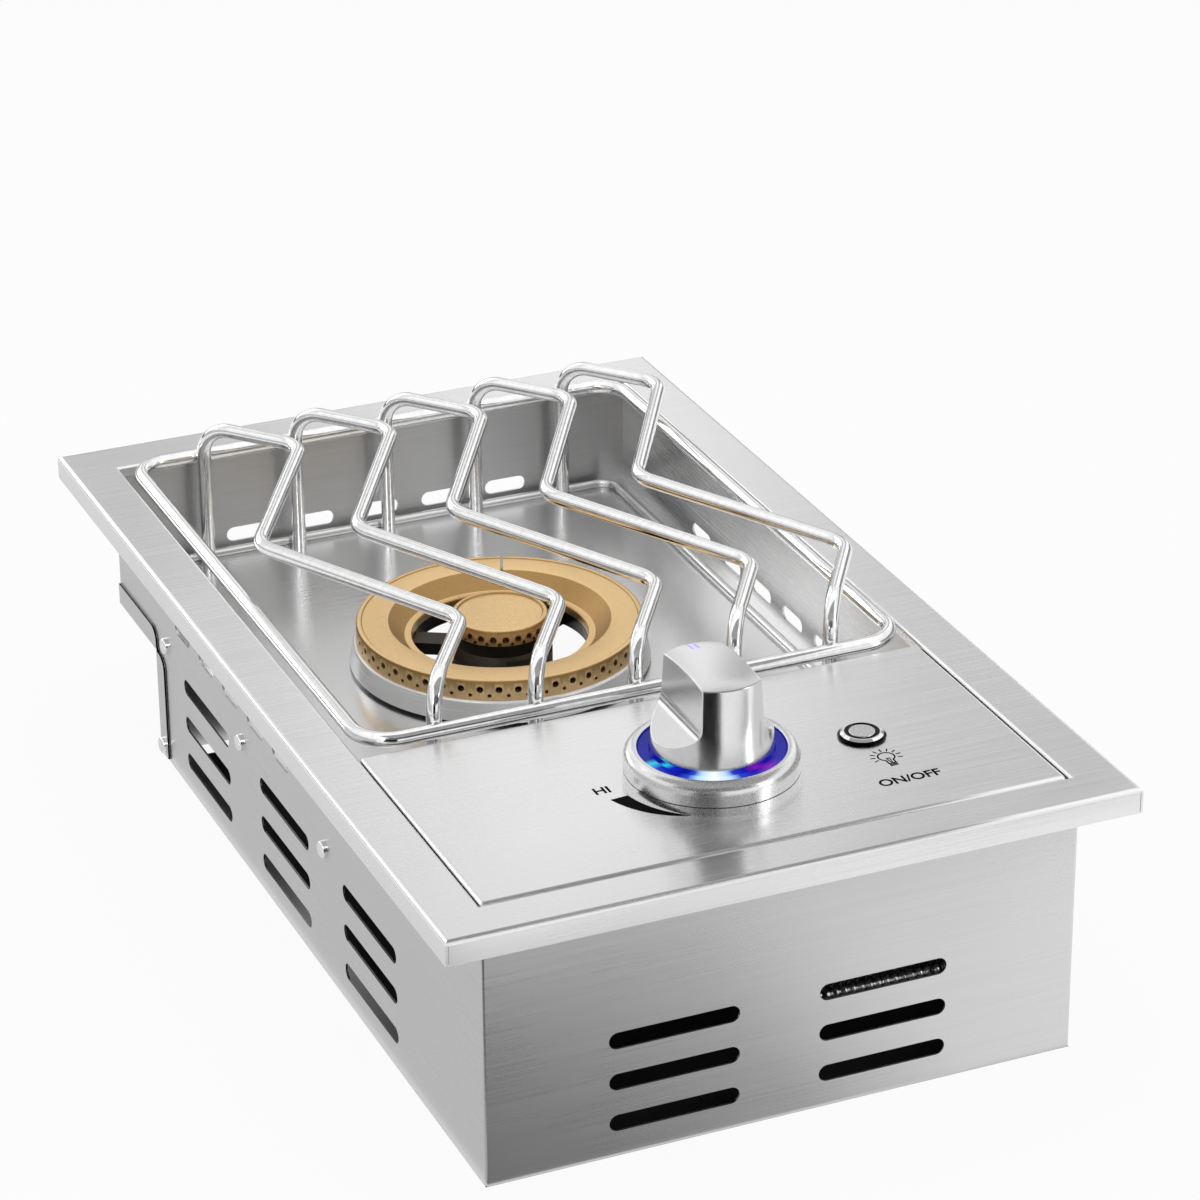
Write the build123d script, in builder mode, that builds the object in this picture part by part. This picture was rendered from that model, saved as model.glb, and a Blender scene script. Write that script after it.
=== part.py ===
from build123d import *
import math
import os

os.makedirs("parts", exist_ok=True)

# Overall sizes in mm, origin at the middle of the base, front at minus Y
rim_w = 318.0
rim_d = 525.0
rim_top = 131.0
skirt_h = 11.6
sheet = 1.0
fold_r = 2.0
lip_h = 5.0
seam_w = 0.5

# Fits, and how far a cut runs past a face
seat_gap = 0.3
hole_clear = 0.4
over = 1.0

# Box under the rim
body_w = 275.0
front_inset = 16.3
rear_inset = 24.0
return_w = 12.0
body_half = body_w / 2
body_in = body_half - sheet
body_top = rim_top - sheet
body_front = -rim_d / 2 + front_inset
rear_out = rim_d / 2 - rear_inset
rear_in = rear_out - sheet

# Stepped rear sheet
step_drop = 73.0
step_depth = 58.0
flange_w = 10.5
flange_round = 7.0
step_top = rim_top - step_drop
low_out = rear_out - step_depth
low_in = low_out - sheet
service_w = 164.0
service_h = 43.0
service_x = 12.0
service_z = 25.5
service_round = 6.0

# Opening in the rim
ap_half = body_in - sheet
rim_front_w = 22.0
ap_front = -rim_d / 2 + rim_front_w
ap_rear = rear_in - sheet

# Control panel, a shallow folded lid in the front of the opening
panel_gap = 0.8
panel_depth = 140.0
panel_skirt = 13.0
panel_half = ap_half - panel_gap
panel_front = ap_front + panel_gap
panel_rear = panel_front + panel_depth
panel_under = rim_top - sheet
panel_mid_y = (panel_front + panel_rear) / 2

# Well, deck and tray behind the panel
deck_drop = 56.0
deck_t = 1.2
deck_flange = 15.0
deck_top = rim_top - deck_drop
divider_gap = 0.9
divider_drop = 3.5
well_front = panel_rear + divider_gap + sheet
tray_t = 1.0
tray_floor = deck_top + tray_t
tray_side = 9.5
bead_r = 2.2
bead_sink = 0.4
tray_half = body_in - tray_side
tray_r = 9.0

# Vent slots
slot_l = 66.0
slot_front_l = 60.0
slot_h = 8.0
slot_pitch_z = 20.0
slot_low_z = 16.0
slot_cols = (-113.0, -3.0, 107.0)
slot_front_cols = (-51.4, 45.8)
well_slot_l = 22.0
well_slot_h = 7.5
well_slot_pitch = 35.0
well_slot_rise = 8.5
well_slot_z = deck_top + well_slot_rise
well_slot_y = 69.0

# Screws in the side sheets
screw_r = 1.8
screw_hole_r = 2.1
screw_head_r = 4.1
screw_head_h = 2.4
screw_ys = (-56.9, 55.5, 166.6)
screw_drop = 10.0
screw_len = 8.0
screw_z = deck_top - screw_drop
low_screw_in = 5.5
low_screw_y = low_out - low_screw_in
low_screw_z = 7.0

# Burner, two rings on one axis
burner_x = -2.0
burner_y = 67.0
deck_hole_r = 60.0
base_r = 70.0
base_foot_r = 72.0
base_foot_h = 1.6
base_round = 1.2
base_wall = 4.5
base_h = 12.0
base_floor = 3.0
ring_r = 68.5
ring_wall = 3.3
ring_h = 10.0
bevel_r = 53.0
throat_r = 42.0
ledge_r = 45.5
bevel_drop = 8.0
ring_chamfer = 1.0
ring_roof = 3.4
lip_w = 2.4
lip_drop = 0.5
throat_wall = 3.3
seat_lip = 1.3
slit_angle = 67.0
slit_w = 1.3
slit_depth = 3.6
cap_r = 23.0
cap_h = 8.0
cap_drop = 30.0
cap_roof = 3.5
cap_recess = 0.8
cap_lip = 2.2
cap_step = 0.5
cap_chamfer = 1.0
spigot_len = 4.0
spigot_wall = 2.2
cap_top = rim_top - cap_drop
cup_r = 22.5
cup_bore = 19.0
cap_seat = 2.0
port_r = 1.3
port_drop = 4.6
ring_ports = 48
cap_ports = 24
arm_w = 12.0
arm_h = 6.0
arm_angles = (30.0, 150.0, 270.0)
arm_root = 1.0
arm_tip = 2.0
spark_angle = 67.0
spark_out = 33.0
spark_lug = 6.0
spark_r = 2.5
spark_collar_r = 4.5
spark_collar_h = 2.0
spark_body_h = 6.0
spark_tip_r = 0.9
spark_tip_h = 9.0
spark_tail = 17.0
chan_floor = 3.0
chan_wall_out = 3.0
chan_wall_in = 4.0
neck_out = 12.0
neck_rise = 15.0
cup_flare = 2.5
flare_drop = 5.0
flare_rise = 3.0
cup_rise = 8.0
riser_r = 8.0
riser_len = 20.0
boss_r = 7.5
boss_bore = 4.5
base_z = tray_floor
ring_z = base_z + base_h
ring_top = ring_z + ring_h
cup_top = cap_top - cap_h

# Mixing tubes, shutters and gas parts under the deck
tube_z = 45.0
tube_r = 8.0
tube_bore = 6.5
bell_r = 12.0
bell_len = 26.0
shutter_t = 1.2
shutter_len = 13.0
shutter_clear = 0.06
bell_gap = 8.0
bell_wall = 1.2
bell_taper = 15.0
air_w = 9.0
air_l = 10.0
tab_w = 5.4
tab_l = 8.0
tab_t = 2.0
tab_out = 2.5
tube_end_in = 10.0
ring_end_in = 6.0
socket_r = 11.0
socket_len = 34.0
ring_tube_dx = 33.0
ring_tube_dy = -40.0
manifold_w = 65.0
manifold_d = 28.0
manifold_h = 20.0
injector_r = 5.0
injector_len = 14.0
injector_hex_len = 8.4
injector_tip_r = 3.5
jet_r = 0.6
manifold_round = 2.0
knob_x = -2.4
knob_back = 6.0
knob_y = panel_mid_y - knob_back
valve_r = 15.0
valve_h = 55.0
valve_hex_h = 13.75
valve_bore = 35.0
stem_in = 29.0
stem_r = 4.0
stem_clear = 0.08
bracket_t = 2.0
bracket_w = 76.0
bracket_d = 28.0
foot_w = 12.0
foot_out = 5.0

# Knob, bezel and light ring
bezel_r = 38.1
bezel_base_h = 3.5
gasket_t = 0.5
bezel_h = 10.0
bezel_open_r = 32.2
bezel_round = 5.0
bezel_edge = 0.6
neck_r = 19.6
neck_bore = 14.0
neck_len = 11.0
panel_hole_r = 20.0
light_in = 9.0
light_step = 27.2
light_out = 31.7
light_h = 9.5
light_low_h = 7.0
groove_step = 0.4
groove_fit = 0.1
groove_floor = 0.8
board_t = 1.4
gasket_in = 0.6
gasket_out = 0.4
knob_r = 26.8
knob_top_r = 24.2
knob_h = 39.0
knob_dome = 2.3
knob_lift = 14.5
knob_edge = 0.7
knob_chamfer = 0.8
grip_half = 14.2
scoop_z = 15.1
scoop_r = 9.0
scoop_top = 0.8
scoop_low = 0.4
scoop_foot = 0.3
scoop_reach = 8.0
scoop_over = 5.0
skirt_depth = 7.0
skirt_wall = 3.0
skirt_taper = 0.5
stem_fit = 0.05
stem_up = 22.0
mark_inset = 1.6
hub_r = 8.0
mark_w = 3.6
mark_l = 6.5
mark_t = 3.6
collar_h = 6.0
collar_clear = 0.3
collar_rise = 1.0
knob_z = rim_top + knob_lift

# Light button
button_x = 71.5
button_back = 0.8
button_y = panel_mid_y - button_back
button_flange_r = 10.75
button_flange_h = 2.6
button_barrel_r = 9.4
button_barrel_len = 24.0
button_ring_r = 7.7
button_cap_r = 5.9
button_gap = 0.3
flange_rim = 0.8
flange_flat = 0.7
ring_fit = 0.1
ring_depth = 5.0
ring_sink = 0.5
cap_depth = 6.0
cap_tail = 3.0
cap_rise = 0.2
cap_round = 0.5
nut_t = 4.0
bezel_nut_t = 5.0
bezel_nut_wall = 6.0
button_nut_wall = 4.0
locknut_t = 5.0

# Hose, pipe and rear inlet
hose_r = 6.0
hose_root = 4.7
hose_bore = 3.6
rib_pitch = 4.0
hose_bend = 16.0
hose_bend_2 = 30.0
hose_x0 = 12.0
hose_back = 13.2
hose_y = body_front + sheet + hose_back
pipe_in = 20.5
pipe_x = body_in - pipe_in
rib_up = 0.22
rib_flat = 0.55
rib_down = 0.77
pipe_r = 5.0
pipe_bore = 4.0
pipe_back = 25.7
pipe_y0 = knob_y + pipe_back
pipe_gap = 4.0
hex_r = 10.5
hose_nut_len = 14.0
inlet_r = 7.94
inlet_len = 24.0
inlet_thread_r = 8.6
inlet_thread_len = 6.5
inlet_hex_r = 12.5
inlet_hex_len = 9.0
inlet_cup = 6.0
inlet_chamfer = 2.0

# Grate, bent wire rods welded to one wire frame
wire_r = 3.5
wire_z = rim_top + 1.5
wire_side = 6.0
wire_front = 6.2
wire_rear = 4.5
wire_half = ap_half - wire_side
wire_y0 = panel_rear + wire_front
wire_y1 = ap_rear - wire_rear
wire_bend = 17.0
rod_z = rim_top + 20.0
rod_bend = 16.0
rod_shares = 5.4
rod_pitch = 2 * wire_half / rod_shares
rod_mid_x = 1.0
weld = 0.3
rod_y_rear = wire_y1 - 2 * wire_r + weld
rod_y_front = wire_y0 + 2 * wire_r - weld
rod_span = rod_y_rear - rod_y_front
tray_y0 = rod_y_front - wire_r - seat_gap - bead_r
tray_y1 = rod_y_rear + wire_r + seat_gap + bead_r
rod_bends = ((36.0, 0.861), (-21.4, 0.538), (36.5, 0.184))

# Top frame with skirts, corner seams and a turned down inner lip
with BuildPart() as top_frame:
    with BuildSketch(Plane.XY.offset(rim_top - skirt_h)):
        Rectangle(rim_w, rim_d)
    extrude(amount=skirt_h)
    fillet(top_frame.edges().group_by(Axis.Z)[-1], fold_r)
    with BuildSketch(Plane.XY.offset(rim_top - skirt_h)):
        Rectangle(rim_w - 2 * sheet, rim_d - 2 * sheet)
    extrude(amount=skirt_h - sheet, mode=Mode.SUBTRACT)
    with BuildSketch(Plane.XY.offset(rim_top - lip_h)):
        with Locations((0, (ap_front + ap_rear) / 2)):
            Rectangle(2 * (ap_half + sheet), ap_rear - ap_front + 2 * sheet)
    extrude(amount=lip_h - sheet / 2)
    with BuildSketch(Plane.XY.offset(rim_top - skirt_h)):
        with Locations((0, (ap_front + ap_rear) / 2)):
            Rectangle(2 * ap_half, ap_rear - ap_front)
    extrude(amount=skirt_h + over, mode=Mode.SUBTRACT)
    hole_edges = [
        e for e in top_frame.edges()
        if abs(e.center().Z - rim_top) < 0.01 and abs(e.center().X) < ap_half + 0.01
        and ap_front - 0.01 < e.center().Y < ap_rear + 0.01
    ]
    fillet(hole_edges, sheet * 1.5)
    for sx in (-1, 1):
        for sy in (-1, 1):
            with BuildSketch(Plane.XY.offset(rim_top - skirt_h)):
                with Locations((sx * (rim_w / 2 - sheet - seam_w / 2), sy * (rim_d / 2 - sheet / 2))):
                    Rectangle(seam_w, sheet + 0.02)
            extrude(amount=skirt_h - fold_r, mode=Mode.SUBTRACT)
top_frame.part.label = "top_frame"
export_step(top_frame.part, "parts/top_frame.step")

# Box sheet folded round the front and both sides, with bottom returns and vents
with BuildPart() as body_wrap:
    with BuildSketch(Plane.XY):
        with Locations((0, (body_front + rear_in) / 2)):
            Rectangle(body_w, rear_in - body_front)
        with Locations((0, (body_front + sheet + rear_in) / 2)):
            Rectangle(2 * body_in, rear_in - body_front - sheet, mode=Mode.SUBTRACT)
    extrude(amount=body_top)
    front_folds = body_wrap.edges().filter_by(Axis.Z).group_by(Axis.Y)[0]
    fillet(front_folds, sheet * 1.3)
    with BuildSketch(Plane.XY):
        with Locations((0, (low_in + rear_in) / 2 + over)):
            Rectangle(body_w + 2 * over, rear_in - low_in + 2 * over)
    extrude(amount=step_top, mode=Mode.SUBTRACT)
    with BuildSketch(Plane.XY):
        with Locations((0, (body_front + sheet + low_in) / 2)):
            Rectangle(2 * body_in, low_in - body_front - sheet)
        with Locations((0, (body_front + sheet + return_w + low_in) / 2)):
            Rectangle(
                2 * (body_in - return_w), low_in - body_front - sheet - return_w, mode=Mode.SUBTRACT
            )
    extrude(amount=sheet)
    with BuildSketch(Plane(origin=(0, body_front, 0), x_dir=(1, 0, 0), z_dir=(0, -1, 0))):
        for row in range(3):
            for col in slot_front_cols:
                with Locations((col, slot_low_z + row * slot_pitch_z)):
                    SlotOverall(slot_front_l, slot_h)
    extrude(amount=-3 * sheet, mode=Mode.SUBTRACT)
    with BuildSketch(Plane(origin=(-body_half - over, 0, 0), x_dir=(0, 1, 0), z_dir=(1, 0, 0))):
        for row in range(3):
            for col in slot_cols:
                with Locations((col, slot_low_z + row * slot_pitch_z)):
                    SlotOverall(slot_l, slot_h)
        for k in range(-2, 3):
            with Locations((well_slot_y + k * well_slot_pitch, well_slot_z)):
                SlotOverall(well_slot_l, well_slot_h)
        for y in screw_ys:
            with Locations((y, screw_z)):
                Circle(screw_hole_r)
        with Locations((low_screw_y, low_screw_z)):
            Circle(screw_hole_r)
    extrude(amount=body_w + 2 * over, mode=Mode.SUBTRACT)
body_wrap.part.label = "body_wrap"
export_step(body_wrap.part, "parts/body_wrap.step")

# Stepped rear sheet whose side flanges lap over the outside of the box
inlet_x = pipe_x
with BuildPart() as rear_panel:
    with BuildSketch(Plane(origin=(-body_half, 0, 0), x_dir=(0, 1, 0), z_dir=(1, 0, 0))):
        with Locations(((rear_in + rear_out) / 2, (step_top - sheet + body_top) / 2)):
            Rectangle(sheet, body_top - step_top + sheet)
    extrude(amount=body_w)
    with BuildSketch(Plane(origin=(-body_half - sheet, 0, 0), x_dir=(0, 1, 0), z_dir=(1, 0, 0))):
        with Locations(((low_in + rear_out) / 2, step_top - sheet / 2)):
            Rectangle(rear_out - low_in, sheet)
        with Locations(((low_in + low_out) / 2, step_top / 2)):
            Rectangle(sheet, step_top)
    extrude(amount=body_w + 2 * sheet)
    for x0 in (-body_half - sheet, body_half):
        with BuildSketch(Plane(origin=(x0, 0, 0), x_dir=(0, 1, 0), z_dir=(1, 0, 0))) as flanges:
            with Locations(((low_out + rear_out) / 2, step_top - sheet + flange_w / 2)):
                Rectangle(rear_out - low_out, flange_w)
            with Locations((low_out - flange_w / 2, (step_top - sheet) / 2)):
                Rectangle(flange_w, step_top - 3 * sheet)
            upper_corner = flanges.vertices().group_by(Axis.Y)[-1].sort_by(Axis.X)[0]
            lower_corner = flanges.vertices().group_by(Axis.X)[0].sort_by(Axis.Y)[-1]
            fillet([upper_corner, lower_corner], flange_round)
        extrude(amount=sheet)
    with BuildSketch(Plane(origin=(0, rear_in - over, 0), x_dir=(-1, 0, 0), z_dir=(0, 1, 0))):
        for k in range(-2, 3):
            with Locations((k * well_slot_pitch, well_slot_z)):
                SlotOverall(well_slot_l, well_slot_h)
    extrude(amount=sheet + 2 * over, mode=Mode.SUBTRACT)
    with BuildSketch(Plane(origin=(0, low_in - over, 0), x_dir=(-1, 0, 0), z_dir=(0, 1, 0))):
        with Locations((-inlet_x, tube_z)):
            Circle(inlet_thread_r + hole_clear)
        with Locations((-service_x, service_z)):
            RectangleRounded(service_w, service_h, service_round)
    extrude(amount=sheet + 2 * over, mode=Mode.SUBTRACT)
    with BuildSketch(Plane(origin=(-body_half - 2 * over, 0, 0), x_dir=(0, 1, 0), z_dir=(1, 0, 0))):
        with Locations((low_screw_y, low_screw_z)):
            Circle(screw_hole_r)
    extrude(amount=body_w + 4 * over, mode=Mode.SUBTRACT)
rear_panel.part.label = "rear_panel"
export_step(rear_panel.part, "parts/rear_panel.step")

# Deck that carries tray and burner, its front edge folded up behind the panel
with BuildPart() as well_deck:
    with BuildSketch(Plane.XY.offset(deck_top - deck_t)):
        with Locations((0, (well_front - sheet + rear_in) / 2)):
            Rectangle(2 * body_in, rear_in - well_front + sheet)
    extrude(amount=deck_t)
    with BuildSketch(Plane.XY.offset(deck_top - deck_flange)):
        with Locations((0, (well_front - sheet + rear_in) / 2)):
            Rectangle(2 * body_in, rear_in - well_front + sheet)
        with Locations((0, (well_front - sheet + rear_in) / 2 - deck_t)):
            Rectangle(
                2 * (body_in - deck_t), rear_in - well_front + sheet, mode=Mode.SUBTRACT
            )
    extrude(amount=deck_flange)
    with BuildSketch(Plane.XY.offset(deck_top - deck_t)):
        with Locations((0, well_front - sheet / 2)):
            Rectangle(2 * (ap_half - seat_gap), sheet)
    extrude(amount=deck_drop + deck_t - divider_drop)
    with BuildSketch(Plane.XY.offset(deck_top - deck_t - over)):
        with Locations((burner_x, burner_y)):
            Circle(deck_hole_r)
    extrude(amount=deck_t + 2 * over, mode=Mode.SUBTRACT)
    with BuildSketch(Plane(origin=(-body_half - over, 0, 0), x_dir=(0, 1, 0), z_dir=(1, 0, 0))):
        for y in screw_ys:
            with Locations((y, screw_z)):
                Circle(screw_hole_r)
    extrude(amount=body_w + 2 * over, mode=Mode.SUBTRACT)
well_deck.part.label = "well_deck"
export_step(well_deck.part, "parts/well_deck.step")

# Drip tray, a sheet whose edge is rolled round a wire just below the wall slots
tray_mid_y = (tray_y0 + tray_y1) / 2
tray_l = tray_y1 - tray_y0
with BuildPart() as drip_tray:
    with BuildSketch(Plane.XY.offset(deck_top)):
        with Locations((0, tray_mid_y)):
            RectangleRounded(2 * tray_half, tray_l, tray_r)
    extrude(amount=tray_t)
    with BuildSketch(Plane.XY.offset(tray_floor + bead_r - bead_sink), mode=Mode.PRIVATE) as tray_plan:
        with Locations((0, tray_mid_y)):
            RectangleRounded(2 * tray_half, tray_l, tray_r)
    bead_wire = tray_plan.sketch.face().outer_wire()
    with BuildSketch(Plane(origin=bead_wire.position_at(0), z_dir=bead_wire.tangent_at(0))):
        Circle(bead_r)
    sweep(path=bead_wire)
    with BuildSketch(Plane.XY.offset(deck_top - over)):
        with Locations((burner_x, burner_y)):
            Circle(deck_hole_r)
    extrude(amount=tray_t + 2 * over, mode=Mode.SUBTRACT)
drip_tray.part.label = "drip_tray"
export_step(drip_tray.part, "parts/drip_tray.step")

# Control panel, a lid folded down on four sides
with BuildPart() as control_panel:
    with BuildSketch(Plane.XY.offset(rim_top - panel_skirt)):
        with Locations((0, panel_mid_y)):
            Rectangle(2 * panel_half, panel_depth)
    extrude(amount=panel_skirt)
    fillet(control_panel.edges().filter_by(Axis.Z), fold_r * 0.7)
    fillet(control_panel.edges().group_by(Axis.Z)[-1], fold_r)
    with BuildSketch(Plane.XY.offset(rim_top - panel_skirt)):
        with Locations((0, panel_mid_y)):
            Rectangle(2 * (panel_half - sheet), panel_depth - 2 * sheet)
    extrude(amount=panel_skirt - sheet, mode=Mode.SUBTRACT)
    with BuildSketch(Plane.XY.offset(panel_under - over)):
        with Locations((knob_x, knob_y)):
            Circle(panel_hole_r)
        with Locations((button_x, button_y)):
            Circle(button_barrel_r + hole_clear)
    extrude(amount=sheet + 2 * over, mode=Mode.SUBTRACT)
control_panel.part.label = "control_panel"
export_step(control_panel.part, "parts/control_panel.step")

# Angle brackets on the side sheets that the panel skirts stand on
bracket_top = rim_top - panel_skirt
bracket_leg = 26.0
bracket_len = 112.0
bracket_drop = 18.0
for side, sx in (("left", -1), ("right", 1)):
    with BuildPart() as panel_bracket:
        with Locations((sx * (body_in - bracket_leg / 2), panel_mid_y, bracket_top - sheet / 2)):
            Box(bracket_leg, bracket_len, sheet)
        with Locations((sx * (body_in - sheet / 2), panel_mid_y, bracket_top - bracket_drop / 2)):
            Box(sheet, bracket_len, bracket_drop)
    panel_bracket.part.label = "panel_bracket_" + side
    export_step(panel_bracket.part, "parts/panel_bracket_" + side + ".step")

# Cast aluminium base ring standing on the tray
burner_axis = Axis((burner_x, burner_y, 0), (0, 0, 1))
burner_plane = Plane(origin=(burner_x, burner_y, 0), x_dir=(1, 0, 0), z_dir=(0, -1, 0))
base_bore = deck_hole_r + over
base_in = base_r - base_wall
with BuildPart() as burner_base:
    with BuildSketch(burner_plane):
        with BuildLine():
            Polyline(
                (base_bore, base_z), (base_foot_r, base_z), (base_foot_r, base_z + base_foot_h),
                (base_r, ring_z), (base_in, ring_z), (base_in, base_z + base_floor),
                (base_bore, base_z + base_floor), close=True
            )
        make_face()
    revolve(axis=burner_axis)
    fillet(burner_base.edges().group_by(Axis.Z)[-1].sort_by(SortBy.RADIUS)[-1], base_round)
burner_base.part.label = "burner_base"
export_step(burner_base.part, "parts/burner_base.step")

# Dark casting: ring channel, arms, centre cup and two tube sockets
chan_out = base_in - seat_gap
chan_in = throat_r + seat_gap
chan_z = base_z + base_floor
seat_z = ring_z - cap_seat
spark_turn = math.radians(spark_angle)
spark_x = burner_x + spark_out * math.cos(spark_turn)
spark_y = burner_y + spark_out * math.sin(spark_turn)
arms = [(angle, cup_r - arm_root) for angle in arm_angles]
arms.append((spark_angle, spark_out - spark_lug))
ring_tube_x = burner_x + ring_tube_dx
ring_tube_y = burner_y + ring_tube_dy
with BuildPart() as burner_body:
    with BuildSketch(burner_plane):
        with BuildLine():
            Polyline(
                (chan_in, chan_z), (chan_out, chan_z), (chan_out, ring_z - seat_gap),
                (chan_out - chan_wall_out, ring_z - seat_gap),
                (chan_out - chan_wall_out, chan_z + chan_floor),
                (chan_in + chan_wall_in, chan_z + chan_floor), (chan_in + chan_wall_in, seat_z),
                (chan_in, seat_z), close=True
            )
        make_face()
        with BuildLine():
            Polyline(
                (0, tube_z - socket_r), (neck_out, tube_z - socket_r), (neck_out, tube_z + neck_rise),
                (cup_r + cup_flare, chan_z - flare_drop), (cup_r + cup_flare, chan_z + flare_rise),
                (cup_r, chan_z + cup_rise), (cup_r, cup_top), (cup_bore, cup_top), (cup_bore, chan_z),
                (riser_r, tube_z + riser_len), (riser_r, tube_z), (0, tube_z), close=True
            )
        make_face()
    revolve(axis=burner_axis)
    for angle, arm_start in arms:
        turn = math.radians(angle)
        arm_len = chan_in + arm_tip - arm_start
        reach = arm_start + arm_len / 2
        with Locations(
            Location(
                (burner_x + reach * math.cos(turn), burner_y + reach * math.sin(turn), chan_z + arm_h / 2),
                (0, 0, angle),
            )
        ):
            Box(arm_len, arm_w, arm_h)
    with BuildSketch(Plane(origin=(burner_x, burner_y, tube_z), x_dir=(1, 0, 0), z_dir=(0, -1, 0))):
        Circle(socket_r)
    extrude(amount=socket_len)
    with BuildSketch(Plane.XY.offset(tube_z)):
        with Locations((ring_tube_x, ring_tube_y)):
            Circle(boss_r)
    extrude(amount=chan_z + over - tube_z)
    ring_socket = Plane(
        origin=(ring_tube_x, ring_tube_y + boss_r, tube_z), x_dir=(1, 0, 0), z_dir=(0, -1, 0)
    )
    with BuildSketch(ring_socket):
        Circle(socket_r)
    extrude(amount=socket_len + boss_r)
    with BuildSketch(Plane(origin=(burner_x, burner_y, tube_z), x_dir=(1, 0, 0), z_dir=(0, -1, 0))):
        Circle(tube_r + seat_gap)
    extrude(amount=socket_len + over, mode=Mode.SUBTRACT)
    with BuildSketch(Plane(origin=(ring_tube_x, ring_tube_y, tube_z), x_dir=(1, 0, 0), z_dir=(0, -1, 0))):
        Circle(tube_r + seat_gap)
    extrude(amount=socket_len + over, mode=Mode.SUBTRACT)
    with BuildSketch(Plane.XY.offset(tube_z)):
        with Locations((burner_x, burner_y)):
            Circle(riser_r)
    extrude(amount=riser_len - over, mode=Mode.SUBTRACT)
    with BuildSketch(Plane.XY.offset(tube_z)):
        with Locations((ring_tube_x, ring_tube_y)):
            Circle(boss_bore)
    extrude(amount=chan_z + chan_floor + over - tube_z, mode=Mode.SUBTRACT)
    with BuildSketch(Plane.XY.offset(chan_z - over)):
        with Locations((spark_x, spark_y)):
            Circle(spark_r + seat_gap)
    extrude(amount=arm_h + 2 * over, mode=Mode.SUBTRACT)
burner_body.part.label = "burner_body"
export_step(burner_body.part, "parts/burner_body.step")

# Brass outer ring with its cone shaped inner wall and a row of ports
port_z = ring_top - port_drop
with BuildPart() as outer_cap:
    with BuildSketch(burner_plane):
        with BuildLine():
            Polyline(
                (ring_r, ring_z), (ring_r, ring_top - ring_chamfer), (ring_r - ring_chamfer, ring_top),
                (ring_r - lip_w, ring_top), (ring_r - lip_w - lip_drop, ring_top - lip_drop),
                (bevel_r, ring_top - lip_drop), (ledge_r, ring_top - bevel_drop),
                (throat_r, ring_top - bevel_drop), (throat_r, seat_z), (throat_r + throat_wall, seat_z),
                (throat_r + throat_wall, seat_z + seat_lip), (bevel_r + lip_drop, ring_top - ring_roof),
                (ring_r - ring_wall, ring_top - ring_roof),
                (ring_r - ring_wall, ring_z), close=True
            )
        make_face()
    revolve(axis=burner_axis)
    ring_spots = [
        Pos(burner_x, burner_y, port_z) * Rot(0, 0, 360 / ring_ports * k)
        * Pos(ring_r - ring_wall / 2, 0, 0) * Rot(0, 90, 0)
        for k in range(ring_ports)
    ]
    with Locations(*ring_spots):
        Cylinder(port_r, ring_wall + 2 * over, mode=Mode.SUBTRACT)
    slit_spot = (
        Pos(burner_x, burner_y, ring_top) * Rot(0, 0, slit_angle) * Pos((ring_r + bevel_r) / 2, 0, 0)
    )
    with Locations(slit_spot):
        Box(ring_r - bevel_r + over, slit_w, 2 * slit_depth, mode=Mode.SUBTRACT)
outer_cap.part.label = "outer_cap"
export_step(outer_cap.part, "parts/outer_cap.step")

# Brass centre cap seated in the cup
cap_spigot = cup_bore - seat_gap
with BuildPart() as inner_cap:
    with BuildSketch(burner_plane):
        with BuildLine():
            Polyline(
                (0, cap_top - cap_recess), (cap_r - cap_lip - cap_step, cap_top - cap_recess),
                (cap_r - cap_lip, cap_top), (cap_r - cap_chamfer, cap_top), (cap_r, cap_top - cap_chamfer),
                (cap_r, cup_top), (cap_spigot, cup_top), (cap_spigot, cup_top - spigot_len),
                (cap_spigot - spigot_wall, cup_top - spigot_len),
                (cap_spigot - spigot_wall, cap_top - cap_roof), (0, cap_top - cap_roof), close=True
            )
        make_face()
    revolve(axis=burner_axis)
    cap_spots = [
        Pos(burner_x, burner_y, cap_top - port_drop) * Rot(0, 0, 360 / cap_ports * k)
        * Pos((cap_r + cap_spigot - spigot_wall) / 2, 0, 0) * Rot(0, 90, 0)
        for k in range(cap_ports)
    ]
    with Locations(*cap_spots):
        Cylinder(port_r, cap_r - cap_spigot + spigot_wall + 2 * over, mode=Mode.SUBTRACT)
inner_cap.part.label = "inner_cap"
export_step(inner_cap.part, "parts/inner_cap.step")

# Spark electrode standing in a lug of the casting, below the slit
arm_top = chan_z + arm_h
with BuildPart() as igniter_electrode:
    with BuildSketch(Plane(origin=(spark_x, spark_y, 0), x_dir=(1, 0, 0), z_dir=(0, -1, 0))):
        with BuildLine():
            Polyline(
                (0, chan_z - spark_tail), (spark_r, chan_z - spark_tail), (spark_r, arm_top),
                (spark_collar_r, arm_top), (spark_collar_r, arm_top + spark_collar_h),
                (spark_r, arm_top + spark_collar_h), (spark_r, arm_top + spark_body_h),
                (spark_tip_r, arm_top + spark_body_h), (spark_tip_r, arm_top + spark_tip_h),
                (0, arm_top + spark_tip_h), close=True
            )
        make_face()
    revolve(axis=Axis((spark_x, spark_y, 0), (0, 0, 1)))
igniter_electrode.part.label = "igniter_electrode"
export_step(igniter_electrode.part, "parts/igniter_electrode.step")

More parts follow.
